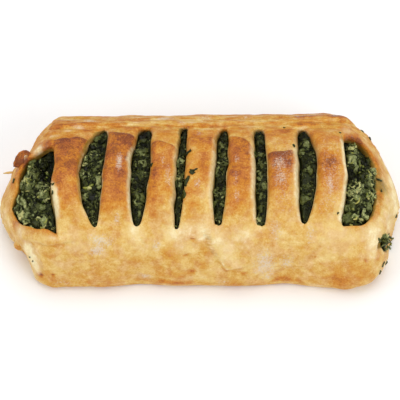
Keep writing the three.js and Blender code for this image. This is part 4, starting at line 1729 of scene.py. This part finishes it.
# one level of painted light and shade for all of these leaves
shownLaid = {
    "form": {"curl": 0.5, "wave": 0.4, "thickness": 0.35, "crumple": 0.16, "columns": 4},
    "lift": 1.3, "heap": 0.55, "seed": 200,
}
strayStems = [  # out of the tear
    stemAt((391, 246), 5.0, 0.45, 75, 0.5),
    stemAt((386, 250), 3.6, 0.35, 40, 0.2),
    stemAt((384, 242), 2.6, 0.35, 120, 0.3),
    stemAt((87, 188), 3.0, 0.7, 10, 0.45),  # lime ribs in the filling
    stemAt((92, 186), 2.2, 0.6, 40, 0.35),
    stemAt((25, 208), 4.6, 0.4, 105, 0.3),
    stemAt((46, 221), 2.0, 0.5, 60, 0.5),
    stemAt((355, 219), 2.2, 0.5, 30, 0.8),
    stemAt((366, 196), 2.6, 0.45, 70, 0.3),
]
# one level of painted light and shade for the stray bits
strayLaid = {"form": {"curl": 0.1, "wave": 0.15, "thickness": 0.5}, "lift": 0.5, "heap": 0.6, "seed": 40}
stemLaid = {"bend": 0.4, "lift": 0.6, "seed": 60}
tearClump = {
    "pixels": [(381, 240), (384, 236), (388, 236), (388, 241),
               (392, 246), (394, 249), (391, 251), (387, 246)],
    "each": 4, "jitter": 1.8, "tilt": 40, "length": (1.8, 4.0), "width": (0.8, 1.7), "seed": 83,
    "form": {"curl": 0.3, "wave": 0.3, "thickness": 0.35}, "lift": 0.8, "tint": (0.1, 0.9),
}


# a frame on a surface behind a pixel: x to the right and z out of the surface, then turned about z
def layOn(surface, pixel, turn, lift):
    place, normal = behindPixel(surface, *pixel)
    side = (Vector((1, 0, 0)) - normal * normal.x).normalized()
    lay = Matrix((side, normal.cross(side), normal)).transposed().to_4x4()
    turned = Matrix.Rotation(math.radians(turn), 4, "Z")
    return Matrix.Translation(place + normal * lift * mm) @ lay @ turned


# a frame that faces the camera, at the point of a surface behind a pixel
def facing(surface, pixel, turn):
    place, normal = behindPixel(surface, *pixel)
    eye, back, up = shotLines()
    lay = Matrix((Vector((1, 0, 0)), up, back)).transposed().to_4x4()
    return Matrix.Translation(place) @ lay @ Matrix.Rotation(math.radians(turn), 4, "Z")


# one piece out of small shapes, each with its frame and its value of an attribute
def joinedPiece(name, shapes, attributeName):
    points, faces, values = [], [], []
    for (shape, shapeFaces), place, value in shapes:
        faces.append(shapeFaces + len(points))
        placed = [place @ Vector(point * mm) for point in shape]
        sunk = min(0, min(point.z for point in placed))  # nothing lies lower than the floor
        points += [point - Vector((0, 0, sunk)) for point in placed]
        values += [value] * len(shape)
    piece = meshPiece(name, [tuple(point) for point in points], np.concatenate(faces))
    setAttribute(piece, attributeName, values)
    print(name + ":", len(piece.data.polygons), "faces")
    return piece


# shreds that burst out of the torn corner
def tearShreds(surface):
    draw = np.random.default_rng(tearClump["seed"])
    shapes = []
    for px, py in tearClump["pixels"]:
        for i in range(tearClump["each"]):
            pixel = (px + draw.normal() * tearClump["jitter"], py + draw.normal() * tearClump["jitter"])
            shape = leafShred(draw.uniform(*tearClump["length"]), draw.uniform(*tearClump["width"]),
                              **tearClump["form"], seed=int(draw.integers(1000)))
            tilt = Matrix.Rotation(math.radians(draw.uniform(-1, 1) * tearClump["tilt"]), 4, "Y")
            place = layOn(surface, pixel, draw.uniform(0, 360), draw.uniform(0, tearClump["lift"])) @ tilt
            shapes.append((shape, place, draw.uniform(*tearClump["tint"])))
    return shapes


# one piece out of leaves that are laid on a surface one by one, and of the shapes that come before them
def laidPiece(name, surface, listed, laid, before=()):
    shapes = list(before)
    for i, leaf in enumerate(listed):
        shape = leafShred(*leaf["size"], **laid["form"], seed=laid["seed"] + i)
        shapes.append((shape, layOn(surface, leaf["pixel"], leaf["turn"], laid["lift"]), leaf["tint"]))
    piece = joinedPiece(name, shapes, "tint")
    # the same painted light and shade on the whole piece
    setAttribute(piece, "heap", np.full(len(piece.data.vertices), laid["heap"]))
    return piece


def makeTearStems(surface):
    shapes = []
    for i, stem in enumerate(strayStems):
        shape = stemRod(stem["length"], stem["radius"], stemLaid["bend"], stemLaid["seed"] + i)
        shapes.append((shape, layOn(surface, stem["pixel"], stem["turn"], stemLaid["lift"]), stem["tint"]))
    return joinedPiece("tearStems", shapes, "tint")


# crisp scraps of dough on the left lip: a curled flake and a sliver

lipFlake = {
    "foot": (20, 165), "bake": 0.95,
    "form": {"seed": 3, "length": 11.5, "width": 4.6, "rise": 80, "turn": 230, "thickness": 0.6,
             "forward": 2.4, "start": (-0.8, -1.2), "taper": 0.75, "cup": 0.5, "ripple": 0.3},
}
lipSliver = {
    "foot": (12, 172), "bake": 0.25, "turn": 8, "shift": -1.8,
    "form": {"seed": 71, "length": 4.8, "width": 1.1, "curl": 0.1, "wave": 0.1, "thickness": 0.6},
}


# a horn of crisp dough: a ribbon that narrows as it rises in front of the lip and curls over to the right
def curledFlake(length, width, rise, turn, thickness, forward, start, taper, cup, ripple, seed):
    rows, columns = 16, 5
    draw = np.random.default_rng(seed)
    grid = np.zeros((rows, columns, 3))
    centre = np.array(start)
    for i, t in enumerate(np.linspace(0, 1, rows)):
        heading = math.radians(rise - turn * t**3)
        half = width / 2 * (1 - taper * t**1.5) * draw.uniform(0.9, 1.1)
        lean = forward * math.sin(math.pi * min(0.5, 1.3 * t))
        for j, s in enumerate(np.linspace(-1, 1, columns)):
            across = half * s * np.array([math.sin(heading), -math.cos(heading)])
            toward = lean + cup * s * s * (1 - t) + ripple * s * math.sin(5 * t)
            grid[i, j] = (*(centre + across), toward)
        centre = centre + length / rows * np.array([math.cos(heading), math.sin(heading)])
    return solidSheet(grid[::-1], thickness)


def makeFlakes(surface):
    flake = curledFlake(**lipFlake["form"])
    points, faces = leafShred(**lipSliver["form"])
    sliver = (points + np.array([lipSliver["shift"], 0, 0]), faces)
    return joinedPiece("lipFlakes", [
        (flake, facing(surface, lipFlake["foot"], 0), lipFlake["bake"]),
        (sliver, facing(surface, lipSliver["foot"], lipSliver["turn"]), lipSliver["bake"]),
    ], "bake")


# light and floor

lights = [
    {"name": "topSoftbox", "at": (0.05, 0.15, 0.9), "size": 0.9, "power": 4.6},
    {"name": "frontSoftbox", "at": (0.6, -0.7, 0.6), "size": 0.6, "power": 3.4},
    {"name": "leftSoftbox", "at": (-0.8, -0.3, 0.35), "size": 0.6, "power": 1.8},
]
skyStrength = 0.5
floorHalf = 3.0


def makeLights():
    for light in lights:
        lamp = bpy.data.lights.new(light["name"], "AREA")
        lamp.size = light["size"]
        lamp.energy = light["power"]
        holder = bpy.data.objects.new(light["name"], lamp)
        holder.location = light["at"]
        holder.rotation_euler = (-Vector(light["at"])).to_track_quat("-Z", "Y").to_euler()
        bpy.context.scene.collection.objects.link(holder)
    world = bpy.data.worlds.new("studio")
    world.use_nodes = True
    world.node_tree.nodes["Background"].inputs["Color"].default_value = (1, 1, 1, 1)
    world.node_tree.nodes["Background"].inputs["Strength"].default_value = skyStrength
    bpy.context.scene.world = world
    bpy.context.scene.view_settings.view_transform = "Standard"


def makeFloor():
    corners = [(x * floorHalf, y * floorHalf, 0) for x, y in ((-1, -1), (1, -1), (1, 1), (-1, 1))]
    floor = meshPiece("floor", corners, [(0, 1, 2, 3)])
    white = (0.97, 0.97, 0.97, 1)
    material, shader, place = newMaterial("paleFloor", {"Base Color": white, "Roughness": 0.8})
    floor.data.materials.append(material)


makeCamera()
makeLights()
makeFloor()
dough = pastryMaterial()
crust, crustSurface = makePastry()
crust.data.materials.append(dough)
core = makeFilling()
core.data.materials.append(coreMaterial())

spinach = spinachMaterial()
bigLeaves = scattered("spinachLeaves", core, leafShred, spinach, leaves)
smallShreds = scattered("spinachShreds", core, leafShred, spinach, shreds)
stalk = stemMaterial()
paleStems = scattered("spinachStems", core, stemRod, stalk, stems)

packed = surfaceOf(crust, core)
strays = laidPiece("strayShreds", crustSurface, strayLeaves, strayLaid, tearShreds(packed))
strays.data.materials.append(spinach)
shown = laidPiece("shownLeaves", packed, shownLeaves, shownLaid)
shown.data.materials.append(spinach)
tearStems = makeTearStems(packed)
tearStems.data.materials.append(stalk)
flakes = makeFlakes(crustSurface)
flakes.data.materials.append(dough)

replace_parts(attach(crust, "root"), "pastry_case")
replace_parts(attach(core, "root"), "spinach_filling")
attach(flakes, "root")
for piece in (bigLeaves, smallShreds, paleStems, shown, strays, tearStems):
    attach(piece, "root")
